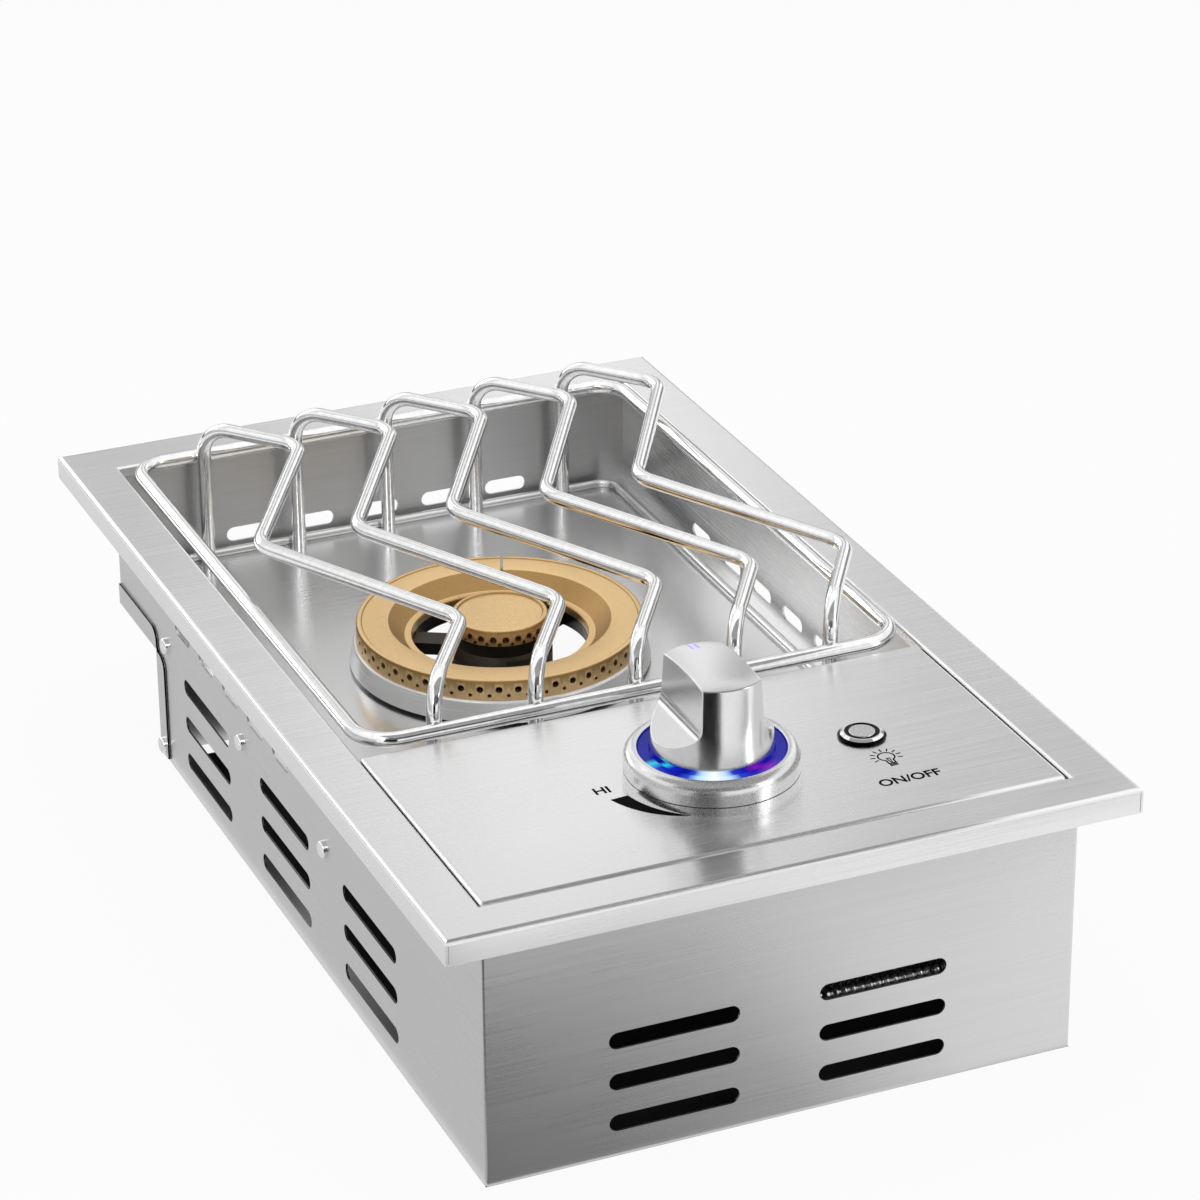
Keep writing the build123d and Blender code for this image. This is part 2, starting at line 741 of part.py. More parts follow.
# Mixing tubes, air shutters and injectors, one set for each ring
manifold_rear = knob_y + manifold_d / 2
bell_y = manifold_rear + bell_gap
air_cut = 4 * bell_r
for name, tube_x, tube_end in (
    ("inner", burner_x, burner_y - tube_end_in),
    ("ring", ring_tube_x, ring_tube_y - ring_end_in),
):
    along = Plane(origin=(tube_x, 0, tube_z), x_dir=(0, 1, 0), z_dir=(1, 0, 0))
    tube_axis = Axis((tube_x, 0, tube_z), (0, 1, 0))
    with BuildPart() as venturi:
        with BuildSketch(along):
            with BuildLine():
                Polyline(
                    (bell_y, bell_r - bell_wall), (bell_y, bell_r), (bell_y + bell_len, bell_r),
                    (bell_y + bell_len + bell_taper, tube_r), (tube_end, tube_r), (tube_end, tube_bore),
                    (bell_y + bell_len + bell_taper, tube_bore), (bell_y + bell_len, bell_r - bell_wall),
                    close=True
                )
            make_face()
        revolve(axis=tube_axis)
        with Locations((tube_x, bell_y + bell_len / 2, tube_z)):
            Box(air_w, air_l, air_cut, mode=Mode.SUBTRACT)
    venturi.part.label = name + "_venturi"
    export_step(venturi.part, "parts/" + name + "_venturi.step")
    with BuildPart() as shutter:
        with BuildSketch(along):
            with Locations((bell_y + bell_len / 2, bell_r + shutter_clear + shutter_t / 2)):
                Rectangle(shutter_len, shutter_t)
        revolve(axis=tube_axis)
        with Locations((tube_x, bell_y + bell_len / 2, tube_z)):
            Box(air_w, air_w, air_cut, mode=Mode.SUBTRACT)
        with Locations((tube_x + bell_r + shutter_t + tab_out, bell_y + bell_len / 2, tube_z)):
            Box(tab_w, tab_l, tab_t)
    shutter.part.label = name + "_shutter"
    export_step(shutter.part, "parts/" + name + "_shutter.step")
    with BuildPart() as injector:
        with BuildSketch(Plane(origin=(tube_x, manifold_rear, tube_z), x_dir=(1, 0, 0), z_dir=(0, 1, 0))):
            RegularPolygon(injector_r, 6)
        extrude(amount=injector_hex_len)
        with BuildSketch(Plane(origin=(tube_x, manifold_rear, tube_z), x_dir=(1, 0, 0), z_dir=(0, 1, 0))):
            Circle(injector_tip_r)
        extrude(amount=injector_len)
        with BuildSketch(Plane(origin=(tube_x, manifold_rear, tube_z), x_dir=(1, 0, 0), z_dir=(0, 1, 0))):
            Circle(jet_r)
        extrude(amount=injector_len, mode=Mode.SUBTRACT)
    injector.part.label = name + "_injector"
    export_step(injector.part, "parts/" + name + "_injector.step")

# Gas manifold block, valve body and the bracket that hangs them from the panel
manifold_x = (burner_x + ring_tube_x) / 2
manifold_top = tube_z + manifold_h / 2
valve_top = manifold_top + valve_h
with BuildPart() as gas_manifold:
    with Locations((manifold_x, knob_y, tube_z)):
        Box(manifold_w, manifold_d, manifold_h)
    fillet(gas_manifold.edges().filter_by(Axis.Z), manifold_round)
gas_manifold.part.label = "gas_manifold"
export_step(gas_manifold.part, "parts/gas_manifold.step")

with BuildPart() as gas_valve:
    with BuildSketch(Plane.XY.offset(manifold_top)):
        with Locations((knob_x, knob_y)):
            Circle(valve_r)
    extrude(amount=valve_h - valve_hex_h)
    with BuildSketch(Plane.XY.offset(valve_top - valve_hex_h)):
        with Locations((knob_x, knob_y)):
            RegularPolygon(valve_r, 6)
    extrude(amount=valve_hex_h)
    with BuildSketch(Plane.XY.offset(valve_top)):
        with Locations((knob_x, knob_y)):
            Circle(stem_r + stem_clear)
    extrude(amount=-valve_bore, mode=Mode.SUBTRACT)
gas_valve.part.label = "gas_valve"
export_step(gas_valve.part, "parts/gas_valve.step")

with BuildPart() as valve_bracket:
    with Locations((knob_x, knob_y, valve_top + bracket_t / 2)):
        Box(bracket_w, bracket_d, bracket_t)
    for sx in (-1, 1):
        with Locations((knob_x + sx * (bracket_w - bracket_t) / 2, knob_y, (valve_top + panel_under) / 2)):
            Box(bracket_t, bracket_d, panel_under - valve_top)
        with Locations((knob_x + sx * (bracket_w / 2 + foot_out), knob_y, panel_under - bracket_t / 2)):
            Box(foot_w, bracket_d, bracket_t)
    with BuildSketch(Plane.XY.offset(valve_top)):
        with Locations((knob_x, knob_y)):
            Circle(stem_r * 2)
    extrude(amount=bracket_t, mode=Mode.SUBTRACT)
valve_bracket.part.label = "valve_bracket"
export_step(valve_bracket.part, "parts/valve_bracket.step")

# Bezel stack round the knob
knob_axis = Axis((knob_x, knob_y, 0), (0, 0, 1))
knob_plane = Plane(origin=(knob_x, knob_y, 0), x_dir=(1, 0, 0), z_dir=(0, -1, 0))
base_top = rim_top + bezel_base_h
groove_in = light_step + groove_step
groove_out = light_out - groove_fit
groove_z = rim_top + groove_floor
gasket_w = bezel_r - gasket_out - light_out - gasket_in
bezel_z = base_top + gasket_t
with BuildPart() as bezel_base:
    with BuildSketch(knob_plane):
        with BuildLine():
            Polyline(
                (neck_bore, rim_top - neck_len), (neck_r, rim_top - neck_len), (neck_r, rim_top),
                (bezel_r, rim_top), (bezel_r, base_top), (groove_out, base_top), (groove_out, groove_z),
                (groove_in, groove_z), (groove_in, base_top), (neck_bore, base_top), close=True
            )
        make_face()
    revolve(axis=knob_axis)
bezel_base.part.label = "bezel_base"
export_step(bezel_base.part, "parts/bezel_base.step")

with BuildPart() as bezel_gasket:
    with BuildSketch(knob_plane):
        with Locations((light_out + gasket_in + gasket_w / 2, base_top + gasket_t / 2)):
            Rectangle(gasket_w, gasket_t)
    revolve(axis=knob_axis)
bezel_gasket.part.label = "bezel_gasket"
export_step(bezel_gasket.part, "parts/bezel_gasket.step")

with BuildPart() as knob_bezel:
    with BuildSketch(knob_plane):
        with Locations(((bezel_open_r + bezel_r) / 2, bezel_z + bezel_h / 2)):
            Rectangle(bezel_r - bezel_open_r, bezel_h)
    revolve(axis=knob_axis)
    top_rings = knob_bezel.edges().group_by(Axis.Z)[-1].sort_by(SortBy.RADIUS)
    fillet(top_rings[-1], bezel_round)
    fillet(knob_bezel.edges().group_by(Axis.Z)[-1].sort_by(SortBy.RADIUS)[0], bezel_edge)
knob_bezel.part.label = "knob_bezel"
export_step(knob_bezel.part, "parts/knob_bezel.step")

with BuildPart() as light_ring:
    with BuildSketch(knob_plane):
        with Locations(((light_in + light_out) / 2, base_top + light_low_h / 2)):
            Rectangle(light_out - light_in, light_low_h)
        with Locations(((light_step + light_out) / 2, base_top + light_h / 2)):
            Rectangle(light_out - light_step, light_h)
    revolve(axis=knob_axis)
light_ring.part.label = "light_ring"
export_step(light_ring.part, "parts/light_ring.step")

with BuildPart() as led_board:
    with BuildSketch(knob_plane):
        with Locations(((groove_in + groove_out) / 2, groove_z + board_t / 2)):
            Rectangle(groove_out - groove_in - 2 * seat_gap, board_t)
    revolve(axis=knob_axis)
led_board.part.label = "led_board"
export_step(led_board.part, "parts/led_board.step")

with BuildPart() as bezel_nut:
    with BuildSketch(Plane.XY.offset(panel_under - bezel_nut_t)):
        with Locations((knob_x, knob_y)):
            RegularPolygon(neck_r + bezel_nut_wall, 6)
            Circle(neck_r + seat_gap, mode=Mode.SUBTRACT)
    extrude(amount=bezel_nut_t)
bezel_nut.part.label = "bezel_nut"
export_step(bezel_nut.part, "parts/bezel_nut.step")

# Push collar in the neck, stem, knob and pointer mark
collar_z = rim_top - neck_len + collar_rise
with BuildPart() as push_collar:
    with BuildSketch(Plane.XY.offset(collar_z)):
        with Locations((knob_x, knob_y)):
            Circle(neck_bore - collar_clear)
            Circle(stem_r + stem_clear, mode=Mode.SUBTRACT)
    extrude(amount=collar_h)
push_collar.part.label = "push_collar"
export_step(push_collar.part, "parts/push_collar.step")

stem_top = knob_z + stem_up
socket_r_in = stem_r + stem_fit
socket_top = stem_top + seat_gap
skirt_top = knob_z + skirt_depth
with BuildPart() as valve_stem:
    with BuildSketch(Plane.XY.offset(valve_top - stem_in)):
        with Locations((knob_x, knob_y)):
            Circle(stem_r)
    extrude(amount=stem_top - valve_top + stem_in)
valve_stem.part.label = "valve_stem"
export_step(valve_stem.part, "parts/valve_stem.step")

knob_top = knob_z + knob_h
shoulder = knob_top - knob_dome
dome_r = (knob_top_r**2 + knob_dome**2) / (2 * knob_dome)
dome_x = knob_top_r / 2
dome_z = knob_top - dome_r + math.sqrt(dome_r**2 - dome_x**2)
mark_y = knob_y + knob_top_r - mark_l / 2 - mark_inset
scoop_x = knob_r + scoop_reach
scoop_up = knob_top + scoop_over
for piece in ("control_knob", "knob_pointer"):
    with BuildPart() as knob:
        with BuildSketch(knob_plane):
            with BuildLine():
                Polyline(
                    (0, socket_top), (socket_r_in, socket_top), (socket_r_in, knob_z), (hub_r, knob_z),
                    (hub_r, skirt_top), (knob_r - skirt_wall - skirt_taper, skirt_top),
                    (knob_r - skirt_wall, knob_z), (knob_r - knob_chamfer, knob_z),
                    (knob_r, knob_z + knob_chamfer), (knob_top_r, shoulder)
                )
                ThreePointArc((knob_top_r, shoulder), (dome_x, dome_z), (0, knob_top))
                Line((0, knob_top), (0, socket_top))
            make_face()
        revolve(axis=knob_axis)
        if piece == "control_knob":
            for sx in (-1, 1):
                with BuildSketch(knob_plane):
                    with BuildLine():
                        FilletPolyline(
                            (sx * (grip_half - scoop_top), scoop_up),
                            (sx * (grip_half + scoop_low), knob_z + scoop_z),
                            (sx * scoop_x, knob_z - scoop_foot),
                            radius=scoop_r,
                        )
                        Polyline(
                            (sx * scoop_x, knob_z - scoop_foot), (sx * scoop_x, scoop_up),
                            (sx * (grip_half - scoop_top), scoop_up)
                        )
                    make_face()
                extrude(amount=scoop_x, both=True, mode=Mode.SUBTRACT)
            grip_edges = [
                e for e in knob.edges()
                if e.center().Z > knob_z + scoop_foot + knob_chamfer and e.length > knob_edge
                and math.hypot(e.center().X - knob_x, e.center().Y - knob_y) > grip_half - 1.5 * scoop_top
            ]
            fillet(grip_edges, knob_edge)
            with Locations((knob_x, mark_y, knob_top - mark_t / 2)):
                Box(mark_w, mark_l, mark_t, mode=Mode.SUBTRACT)
        else:
            with Locations((knob_x, mark_y, knob_top - mark_t / 2)):
                Box(mark_w, mark_l, mark_t, mode=Mode.INTERSECT)
    knob.part.label = piece
    export_step(knob.part, "parts/" + piece + ".step")

# Light button: chrome housing, black ring, cap and nut
button_axis = Axis((button_x, button_y, 0), (0, 0, 1))
button_plane = Plane(origin=(button_x, button_y, 0), x_dir=(1, 0, 0), z_dir=(0, -1, 0))
button_low = panel_under - button_barrel_len
button_top = rim_top + button_flange_h
ring_seat = rim_top - ring_depth
with BuildPart() as button_housing:
    with BuildSketch(button_plane):
        with BuildLine():
            Polyline(
                (0, button_low), (button_barrel_r, button_low), (button_barrel_r, rim_top),
                (button_flange_r, rim_top), (button_flange_r, rim_top + flange_rim),
                (button_ring_r + flange_flat, button_top), (button_ring_r + ring_fit, button_top),
                (button_ring_r + ring_fit, ring_seat), (button_cap_r + button_gap, ring_seat),
                (button_cap_r + button_gap, ring_seat - cap_depth), (0, ring_seat - cap_depth), close=True
            )
        make_face()
    revolve(axis=button_axis)
button_housing.part.label = "button_housing"
export_step(button_housing.part, "parts/button_housing.step")

with BuildPart() as button_ring:
    with BuildSketch(Plane.XY.offset(ring_seat)):
        with Locations((button_x, button_y)):
            Circle(button_ring_r)
            Circle(button_cap_r + button_gap, mode=Mode.SUBTRACT)
    extrude(amount=button_top - ring_sink - ring_seat)
button_ring.part.label = "button_ring"
export_step(button_ring.part, "parts/button_ring.step")

with BuildPart() as button_cap:
    with BuildSketch(Plane.XY.offset(ring_seat - cap_tail)):
        with Locations((button_x, button_y)):
            Circle(button_cap_r)
    extrude(amount=button_top + cap_rise - ring_seat + cap_tail)
    fillet(button_cap.edges().group_by(Axis.Z)[-1], cap_round)
button_cap.part.label = "button_cap"
export_step(button_cap.part, "parts/button_cap.step")

with BuildPart() as button_nut:
    with BuildSketch(Plane.XY.offset(panel_under - nut_t)):
        with Locations((button_x, button_y)):
            RegularPolygon(button_barrel_r + button_nut_wall, 6)
            Circle(button_barrel_r + seat_gap, mode=Mode.SUBTRACT)
    extrude(amount=nut_t)
button_nut.part.label = "button_nut"
export_step(button_nut.part, "parts/button_nut.step")

# Spark and lamp supply box on the left sheet
module_w = 24.0
module_l = 60.0
module_h = 40.0
module_z = 40.0
module_back = 20.0
module_round = 2.5
with BuildPart() as igniter_module:
    with Locations((-body_in + module_w / 2, knob_y - module_back, module_z)):
        Box(module_w, module_l, module_h)
    fillet(igniter_module.edges().filter_by(Axis.X), module_round)
igniter_module.part.label = "igniter_module"
export_step(igniter_module.part, "parts/igniter_module.step")

# Ribbed gas hose from the manifold round behind the front sheet to the pipe
manifold_front = knob_y - manifold_d / 2
hose_y0 = manifold_front - hose_nut_len
hose_y1 = pipe_y0 - hose_nut_len
with BuildLine() as hose_path:
    Line((hose_x0, hose_y0, tube_z), (hose_x0, hose_y + hose_bend, tube_z))
    TangentArc(
        (hose_x0, hose_y + hose_bend, tube_z), (hose_x0 + hose_bend, hose_y, tube_z), tangent=(0, -1, 0)
    )
    Line((hose_x0 + hose_bend, hose_y, tube_z), (pipe_x - hose_bend_2, hose_y, tube_z))
    TangentArc(
        (pipe_x - hose_bend_2, hose_y, tube_z), (pipe_x, hose_y + hose_bend_2, tube_z), tangent=(1, 0, 0)
    )
    Line((pipe_x, hose_y + hose_bend_2, tube_z), (pipe_x, hose_y1, tube_z))
hose_wire = hose_path.wire()
hose_len = hose_wire.length
rib_count = int(hose_len / rib_pitch)
rib_step = hose_len / rib_count
rib_cuts = []
for k in range(rib_count):
    for part_of, radius in ((0.0, hose_root), (rib_up, hose_r), (rib_flat, hose_r), (rib_down, hose_root)):
        rib_cuts.append(((k + part_of) * rib_step, radius))
rib_cuts.append((hose_len, hose_root))
with BuildPart() as gas_hose:
    for along_hose, radius in rib_cuts:
        spot = hose_wire.position_at(along_hose, position_mode=PositionMode.LENGTH)
        way = hose_wire.tangent_at(along_hose, position_mode=PositionMode.LENGTH)
        with BuildSketch(Plane(origin=spot, x_dir=(0, 0, 1), z_dir=way)):
            Circle(radius)
    loft(ruled=True)
    with BuildSketch(Plane(origin=hose_wire.position_at(0), x_dir=(0, 0, 1), z_dir=hose_wire.tangent_at(0))):
        Circle(hose_bore)
    sweep(path=hose_wire, mode=Mode.SUBTRACT)
gas_hose.part.label = "gas_hose"
export_step(gas_hose.part, "parts/gas_hose.step")
print("hose length", round(hose_len, 1), "ribs", rib_count, "volume", round(gas_hose.part.volume))
rib_slope = (hose_r**2 + hose_root**2 + hose_r * hose_root) / 3
slopes = 2 * rib_up
mean_square = rib_slope * slopes + hose_r**2 * (rib_flat - rib_up) + hose_root**2 * (1 - rib_down)
print("section by length", round(math.pi * (mean_square - hose_bore**2) * hose_len))

# Hose nuts, gas pipe and the rear inlet
for name, x, y in (("front", hose_x0, hose_y0), ("rear", pipe_x, hose_y1)):
    with BuildPart() as hose_nut:
        with BuildSketch(Plane(origin=(x, y, tube_z), x_dir=(1, 0, 0), z_dir=(0, 1, 0))):
            RegularPolygon(hex_r, 6)
            Circle(hose_bore, mode=Mode.SUBTRACT)
        extrude(amount=hose_nut_len)
    hose_nut.part.label = "hose_nut_" + name
    export_step(hose_nut.part, "parts/hose_nut_" + name + ".step")

pipe_y1 = low_in - inlet_hex_len - pipe_gap
inlet_cup_y = pipe_y1 - inlet_cup
inlet_hex_y = low_in - inlet_hex_len
with BuildPart() as gas_pipe:
    with BuildSketch(Plane(origin=(pipe_x, pipe_y0, tube_z), x_dir=(1, 0, 0), z_dir=(0, 1, 0))):
        Circle(pipe_r)
        Circle(pipe_bore, mode=Mode.SUBTRACT)
    extrude(amount=pipe_y1 - pipe_y0)
gas_pipe.part.label = "gas_pipe"
export_step(gas_pipe.part, "parts/gas_pipe.step")

with BuildPart() as gas_inlet:
    with BuildSketch(Plane(origin=(inlet_x, inlet_hex_y, tube_z), x_dir=(1, 0, 0), z_dir=(0, 1, 0))):
        RegularPolygon(inlet_hex_r, 6)
    extrude(amount=inlet_hex_len)
    with BuildSketch(Plane(origin=(inlet_x, inlet_cup_y, tube_z), x_dir=(1, 0, 0), z_dir=(0, 1, 0))):
        Circle(inlet_thread_r)
    extrude(amount=low_out + inlet_thread_len - inlet_cup_y)
    with BuildSketch(Plane(origin=(inlet_x, low_out, tube_z), x_dir=(1, 0, 0), z_dir=(0, 1, 0))):
        Circle(inlet_r)
    extrude(amount=inlet_len)
    chamfer(gas_inlet.edges().group_by(Axis.Y)[-1], inlet_chamfer)
    with BuildSketch(Plane(origin=(inlet_x, inlet_cup_y, tube_z), x_dir=(1, 0, 0), z_dir=(0, 1, 0))):
        Circle(pipe_r + seat_gap)
    extrude(amount=inlet_cup + over, mode=Mode.SUBTRACT)
    with BuildSketch(Plane(origin=(inlet_x, pipe_y1, tube_z), x_dir=(1, 0, 0), z_dir=(0, 1, 0))):
        Circle(pipe_bore)
    extrude(amount=low_out + inlet_len + over - pipe_y1, mode=Mode.SUBTRACT)
gas_inlet.part.label = "gas_inlet"
export_step(gas_inlet.part, "parts/gas_inlet.step")

with BuildPart() as inlet_locknut:
    with BuildSketch(Plane(origin=(inlet_x, low_out, tube_z), x_dir=(1, 0, 0), z_dir=(0, 1, 0))):
        RegularPolygon(inlet_hex_r, 6)
        Circle(inlet_thread_r + seat_gap, mode=Mode.SUBTRACT)
    extrude(amount=locknut_t)
inlet_locknut.part.label = "inlet_locknut"
export_step(inlet_locknut.part, "parts/inlet_locknut.step")

# Pan head screws in the side sheets
for side, sx in (("left", -1), ("right", 1)):
    with BuildPart() as side_screws:
        for y, z, lift in [(y, screw_z, 0.0) for y in screw_ys] + [(low_screw_y, low_screw_z, sheet)]:
            face = Plane(origin=(sx * (body_half + lift), y, z), x_dir=(0, sx, 0), z_dir=(sx, 0, 0))
            with BuildSketch(face):
                Circle(screw_head_r)
            extrude(amount=screw_head_h)
            with BuildSketch(face):
                Circle(screw_r)
            extrude(amount=-screw_len)
        heads = side_screws.edges().filter_by(GeomType.CIRCLE)
        heads = [e for e in heads if abs(abs(e.center().X) - body_half - screw_head_h) < sheet + 0.01]
        fillet(heads, screw_head_h * 0.6)
    side_screws.part.label = "screws_" + side
    export_step(side_screws.part, "parts/screws_" + side + ".step")

# Grate: one closed wire frame and five bent rods
wire_mid_y = (wire_y0 + wire_y1) / 2
with BuildPart() as grate_frame:
    with BuildSketch(Plane.XY.offset(wire_z), mode=Mode.PRIVATE) as frame_plan:
        with Locations((0, wire_mid_y)):
            RectangleRounded(2 * wire_half, wire_y1 - wire_y0, wire_bend)
    frame_wire = frame_plan.sketch.face().outer_wire()
    with BuildSketch(Plane(origin=frame_wire.position_at(0), z_dir=frame_wire.tangent_at(0))):
        Circle(wire_r)
    sweep(path=frame_wire)
grate_frame.part.label = "grate_frame"
export_step(grate_frame.part, "parts/grate_frame.step")

for k in range(5):
    rod_x = rod_mid_x + (k - 2) * rod_pitch
    with BuildPart() as grate_rod:
        with BuildLine():
            FilletPolyline(
                (rod_x, rod_y_rear, tray_floor), (rod_x, rod_y_rear, rod_z),
                *[(rod_x + dx, rod_y_front + share * rod_span, rod_z) for dx, share in rod_bends],
                (rod_x, rod_y_front, rod_z), (rod_x, rod_y_front, tray_floor),
                radius=rod_bend,
            )
        with BuildSketch(Plane(origin=(rod_x, rod_y_rear, tray_floor), x_dir=(1, 0, 0), z_dir=(0, 0, 1))):
            Circle(wire_r)
        sweep()
    grate_rod.part.label = "grate_rod_" + str(k + 1)
    export_step(grate_rod.part, "parts/grate_rod_" + str(k + 1) + ".step")
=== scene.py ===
import math

import bmesh
import bpy
from bpy.props import FloatProperty, FloatVectorProperty, IntProperty, PointerProperty, StringProperty
from mathutils import Matrix, Vector


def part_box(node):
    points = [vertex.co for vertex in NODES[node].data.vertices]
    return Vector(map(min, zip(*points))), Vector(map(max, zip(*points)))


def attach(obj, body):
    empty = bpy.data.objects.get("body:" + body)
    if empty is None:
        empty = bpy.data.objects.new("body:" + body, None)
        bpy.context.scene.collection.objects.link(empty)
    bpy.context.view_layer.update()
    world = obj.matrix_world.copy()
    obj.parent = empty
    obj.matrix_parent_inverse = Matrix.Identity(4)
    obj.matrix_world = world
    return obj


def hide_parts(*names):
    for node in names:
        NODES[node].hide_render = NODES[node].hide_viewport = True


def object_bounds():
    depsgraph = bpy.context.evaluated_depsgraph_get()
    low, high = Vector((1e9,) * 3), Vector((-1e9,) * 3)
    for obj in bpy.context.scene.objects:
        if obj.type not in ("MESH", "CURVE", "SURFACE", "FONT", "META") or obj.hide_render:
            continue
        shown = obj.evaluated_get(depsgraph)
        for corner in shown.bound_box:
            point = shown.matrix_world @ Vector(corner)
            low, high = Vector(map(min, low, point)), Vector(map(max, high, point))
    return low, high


bl_info = {
    "name": "Side burner finish",
    "version": (1, 0, 0),
    "blender": (4, 5, 0),
    "location": "View3D > Sidebar > Side burner",
    "description": "Finishes, printed marks, ported caps and gas hose of a drop-in side burner",
    "category": "Object",
}

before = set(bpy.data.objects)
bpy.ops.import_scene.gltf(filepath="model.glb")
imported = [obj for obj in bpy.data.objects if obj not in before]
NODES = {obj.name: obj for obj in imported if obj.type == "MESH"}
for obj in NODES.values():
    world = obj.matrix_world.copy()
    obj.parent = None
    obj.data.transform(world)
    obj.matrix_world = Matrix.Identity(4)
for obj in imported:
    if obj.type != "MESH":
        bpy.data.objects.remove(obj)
CAD_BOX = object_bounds()
MM = 0.001
HOSE_CREST = 6.0 * MM
HOSE_ROOT = 4.6 * MM
HOSE_LENGTH = 180.6 * MM
HOSE_RIBS = 45
SHARP_ANGLE = math.radians(32)
WELD = 0.001 * MM
# Most of what a noise texture gives lies between these two values.
NOISE_LOW = 0.3
NOISE_HIGH = 0.7


def middle(node):
    """Middle of a node's box, in metres."""
    low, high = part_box(node)
    return (low + high) / 2


PANEL_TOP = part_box("control_panel")[1].z
KNOB_AT = middle("knob_bezel")
BUTTON_AT = middle("button_cap")
BURNER_AT = middle("outer_cap")


class BurnerSettings(bpy.types.PropertyGroup):
    """Sizes of the ported brass caps."""

    port_radius: FloatProperty(
        name="Port radius", description="Radius of a main flame port", default=1.6 * MM, unit="LENGTH"
    )
    pilot_radius: FloatProperty(
        name="Pilot radius", description="Radius of a small port between two main ones",
        default=0.9 * MM, unit="LENGTH"
    )
    outer_ports: IntProperty(name="Outer ports", description="Main ports round the outer cap", default=48)
    inner_ports: IntProperty(name="Inner ports", description="Main ports round the inner cap", default=24)
    slit_angle: FloatProperty(
        name="Slit angle", description="Where the cross-lighting slit stands, from the right",
        default=math.radians(67.0), subtype="ANGLE"
    )


class MarkSettings(bpy.types.PropertyGroup):
    """What is printed on the control panel."""

    high_word: StringProperty(
        name="High word", description="Word beside the wide end of the wedge", default="HI"
    )
    lamp_word: StringProperty(name="Lamp word", description="Word below the lamp sign", default="ON/OFF")
    word_height: FloatProperty(
        name="Word height", description="Size of the lettering", default=8.0 * MM, unit="LENGTH"
    )
    stroke: FloatProperty(
        name="Stroke", description="Line width of the lamp sign", default=0.7 * MM, unit="LENGTH"
    )


class FinishSettings(bpy.types.PropertyGroup):
    """Base colours, as sRGB hex values."""

    # Rim, box, well and tray are one stainless in four greys: the box drawn darker as painted shade, the
    # well and tray lighter than it as painted light.
    steel: StringProperty(name="Steel", description="Brushed stainless rim and panel", default="#e8e8e8")
    shaded_box_steel: StringProperty(name="Box steel", description="Rolled stainless box", default="#c8c8c8")
    lit_well_steel: StringProperty(name="Well steel", description="Bright stainless well", default="#f0f0f0")
    lit_tray_steel: StringProperty(name="Tray steel", description="Rolled stainless tray", default="#e0e0e0")
    wire: StringProperty(name="Wire", description="Polished stainless wire", default="#f0f0f0")
    brass: StringProperty(name="Brass", description="Matt brass of the caps", default="#f4d29c")
    zinc: StringProperty(name="Zinc", description="Satin chromed zinc of the knob", default="#e4e4e4")
    glow: StringProperty(name="Glow", description="Main colour of the light ring", default="#0a1096")


class CameraSettings(bpy.types.PropertyGroup):
    """Where the photograph was taken from."""

    place: FloatVectorProperty(
        name="Place", description="Camera position", size=3, default=(-0.698, -1.684, 1.0128),
        subtype="TRANSLATION"
    )
    turn: FloatProperty(
        name="Turn", description="Viewing direction, from the rear to the right",
        default=math.radians(23.13), subtype="ANGLE"
    )
    tilt: FloatProperty(
        name="Tilt", description="Viewing direction, below the horizon",
        default=math.radians(25.70), subtype="ANGLE"
    )
    roll: FloatProperty(
        name="Roll", description="Roll about the viewing direction",
        default=math.radians(-0.46), subtype="ANGLE"
    )
    lens: FloatProperty(name="Lens", description="Focal length in mm on a 36 mm sensor", default=132.0)


def linear(code):
    """Linear RGBA of an sRGB hex colour."""
    parts = [int(code[start:start + 2], 16) / 255 for start in (1, 3, 5)]
    return [part / 12.92 if part <= 0.04045 else ((part + 0.055) / 1.055) ** 2.4 for part in parts] + [1.0]


def shades(code, low, high):
    """Two linear colours, a share darker and lighter than a hex colour."""
    base = linear(code)[:3]
    return [[part * share for part in base] + [1.0] for share in (low, high)]


def feed(node, inputs):
    """Sets or links each named or numbered input of a node."""
    for key, value in inputs.items():
        if isinstance(value, bpy.types.NodeSocket):
            node.id_data.links.new(value, node.inputs[key])
        else:
            node.inputs[key].default_value = value


def add(tree, kind, fields=None, inputs=None, stops=()):
    """Adds a node with its fields, its inputs and, from 0 to 1, its stops of place and colour."""
    node = tree.nodes.new(kind)
    for field, value in (fields or {}).items():
        setattr(node, field, value)
    feed(node, inputs or {})
    if stops:
        band = node.color_ramp.elements
        band[0].color = stops[0][1]
        band[1].color = stops[-1][1]
        for place, colour in stops[1:-1]:
            band.new(place).color = colour
    return node


def new_material(name, inputs):
    """A material with one Principled shader; returns it with its tree, shader and object coordinates."""
    material = bpy.data.materials.new(name)
    material.use_nodes = True
    tree = material.node_tree
    shader = tree.nodes["Principled BSDF"]
    feed(shader, inputs)
    coords = add(tree, "ShaderNodeTexCoord").outputs["Object"]
    return material, tree, shader, coords


def speckle(tree, coords, grain, detail):
    """Noise whose grain along X, Y and Z is given in metres."""
    scaled = add(tree, "ShaderNodeMapping", None, {"Vector": coords, "Scale": [1 / size for size in grain]})
    noise = add(tree, "ShaderNodeTexNoise", None, {
        "Vector": scaled.outputs[0], "Scale": 1.0, "Detail": detail,
    })
    return noise.outputs[0]


def grained(tree, coords, grain, detail, colours, gloss):
    """One noise as a height, as a colour between two and as a roughness within a range."""
    noise = speckle(tree, coords, grain, detail)
    share, rough = [
        add(tree, "ShaderNodeMapRange", None, {0: noise, 1: NOISE_LOW, 2: NOISE_HIGH, 3: low, 4: high})
        for low, high in ((0.0, 1.0), gloss)
    ]
    colour = add(tree, "ShaderNodeMix", {"data_type": "RGBA"}, {
        0: share.outputs[0], 6: colours[0], 7: colours[1],
    })
    return noise, colour.outputs[2], rough.outputs[0]


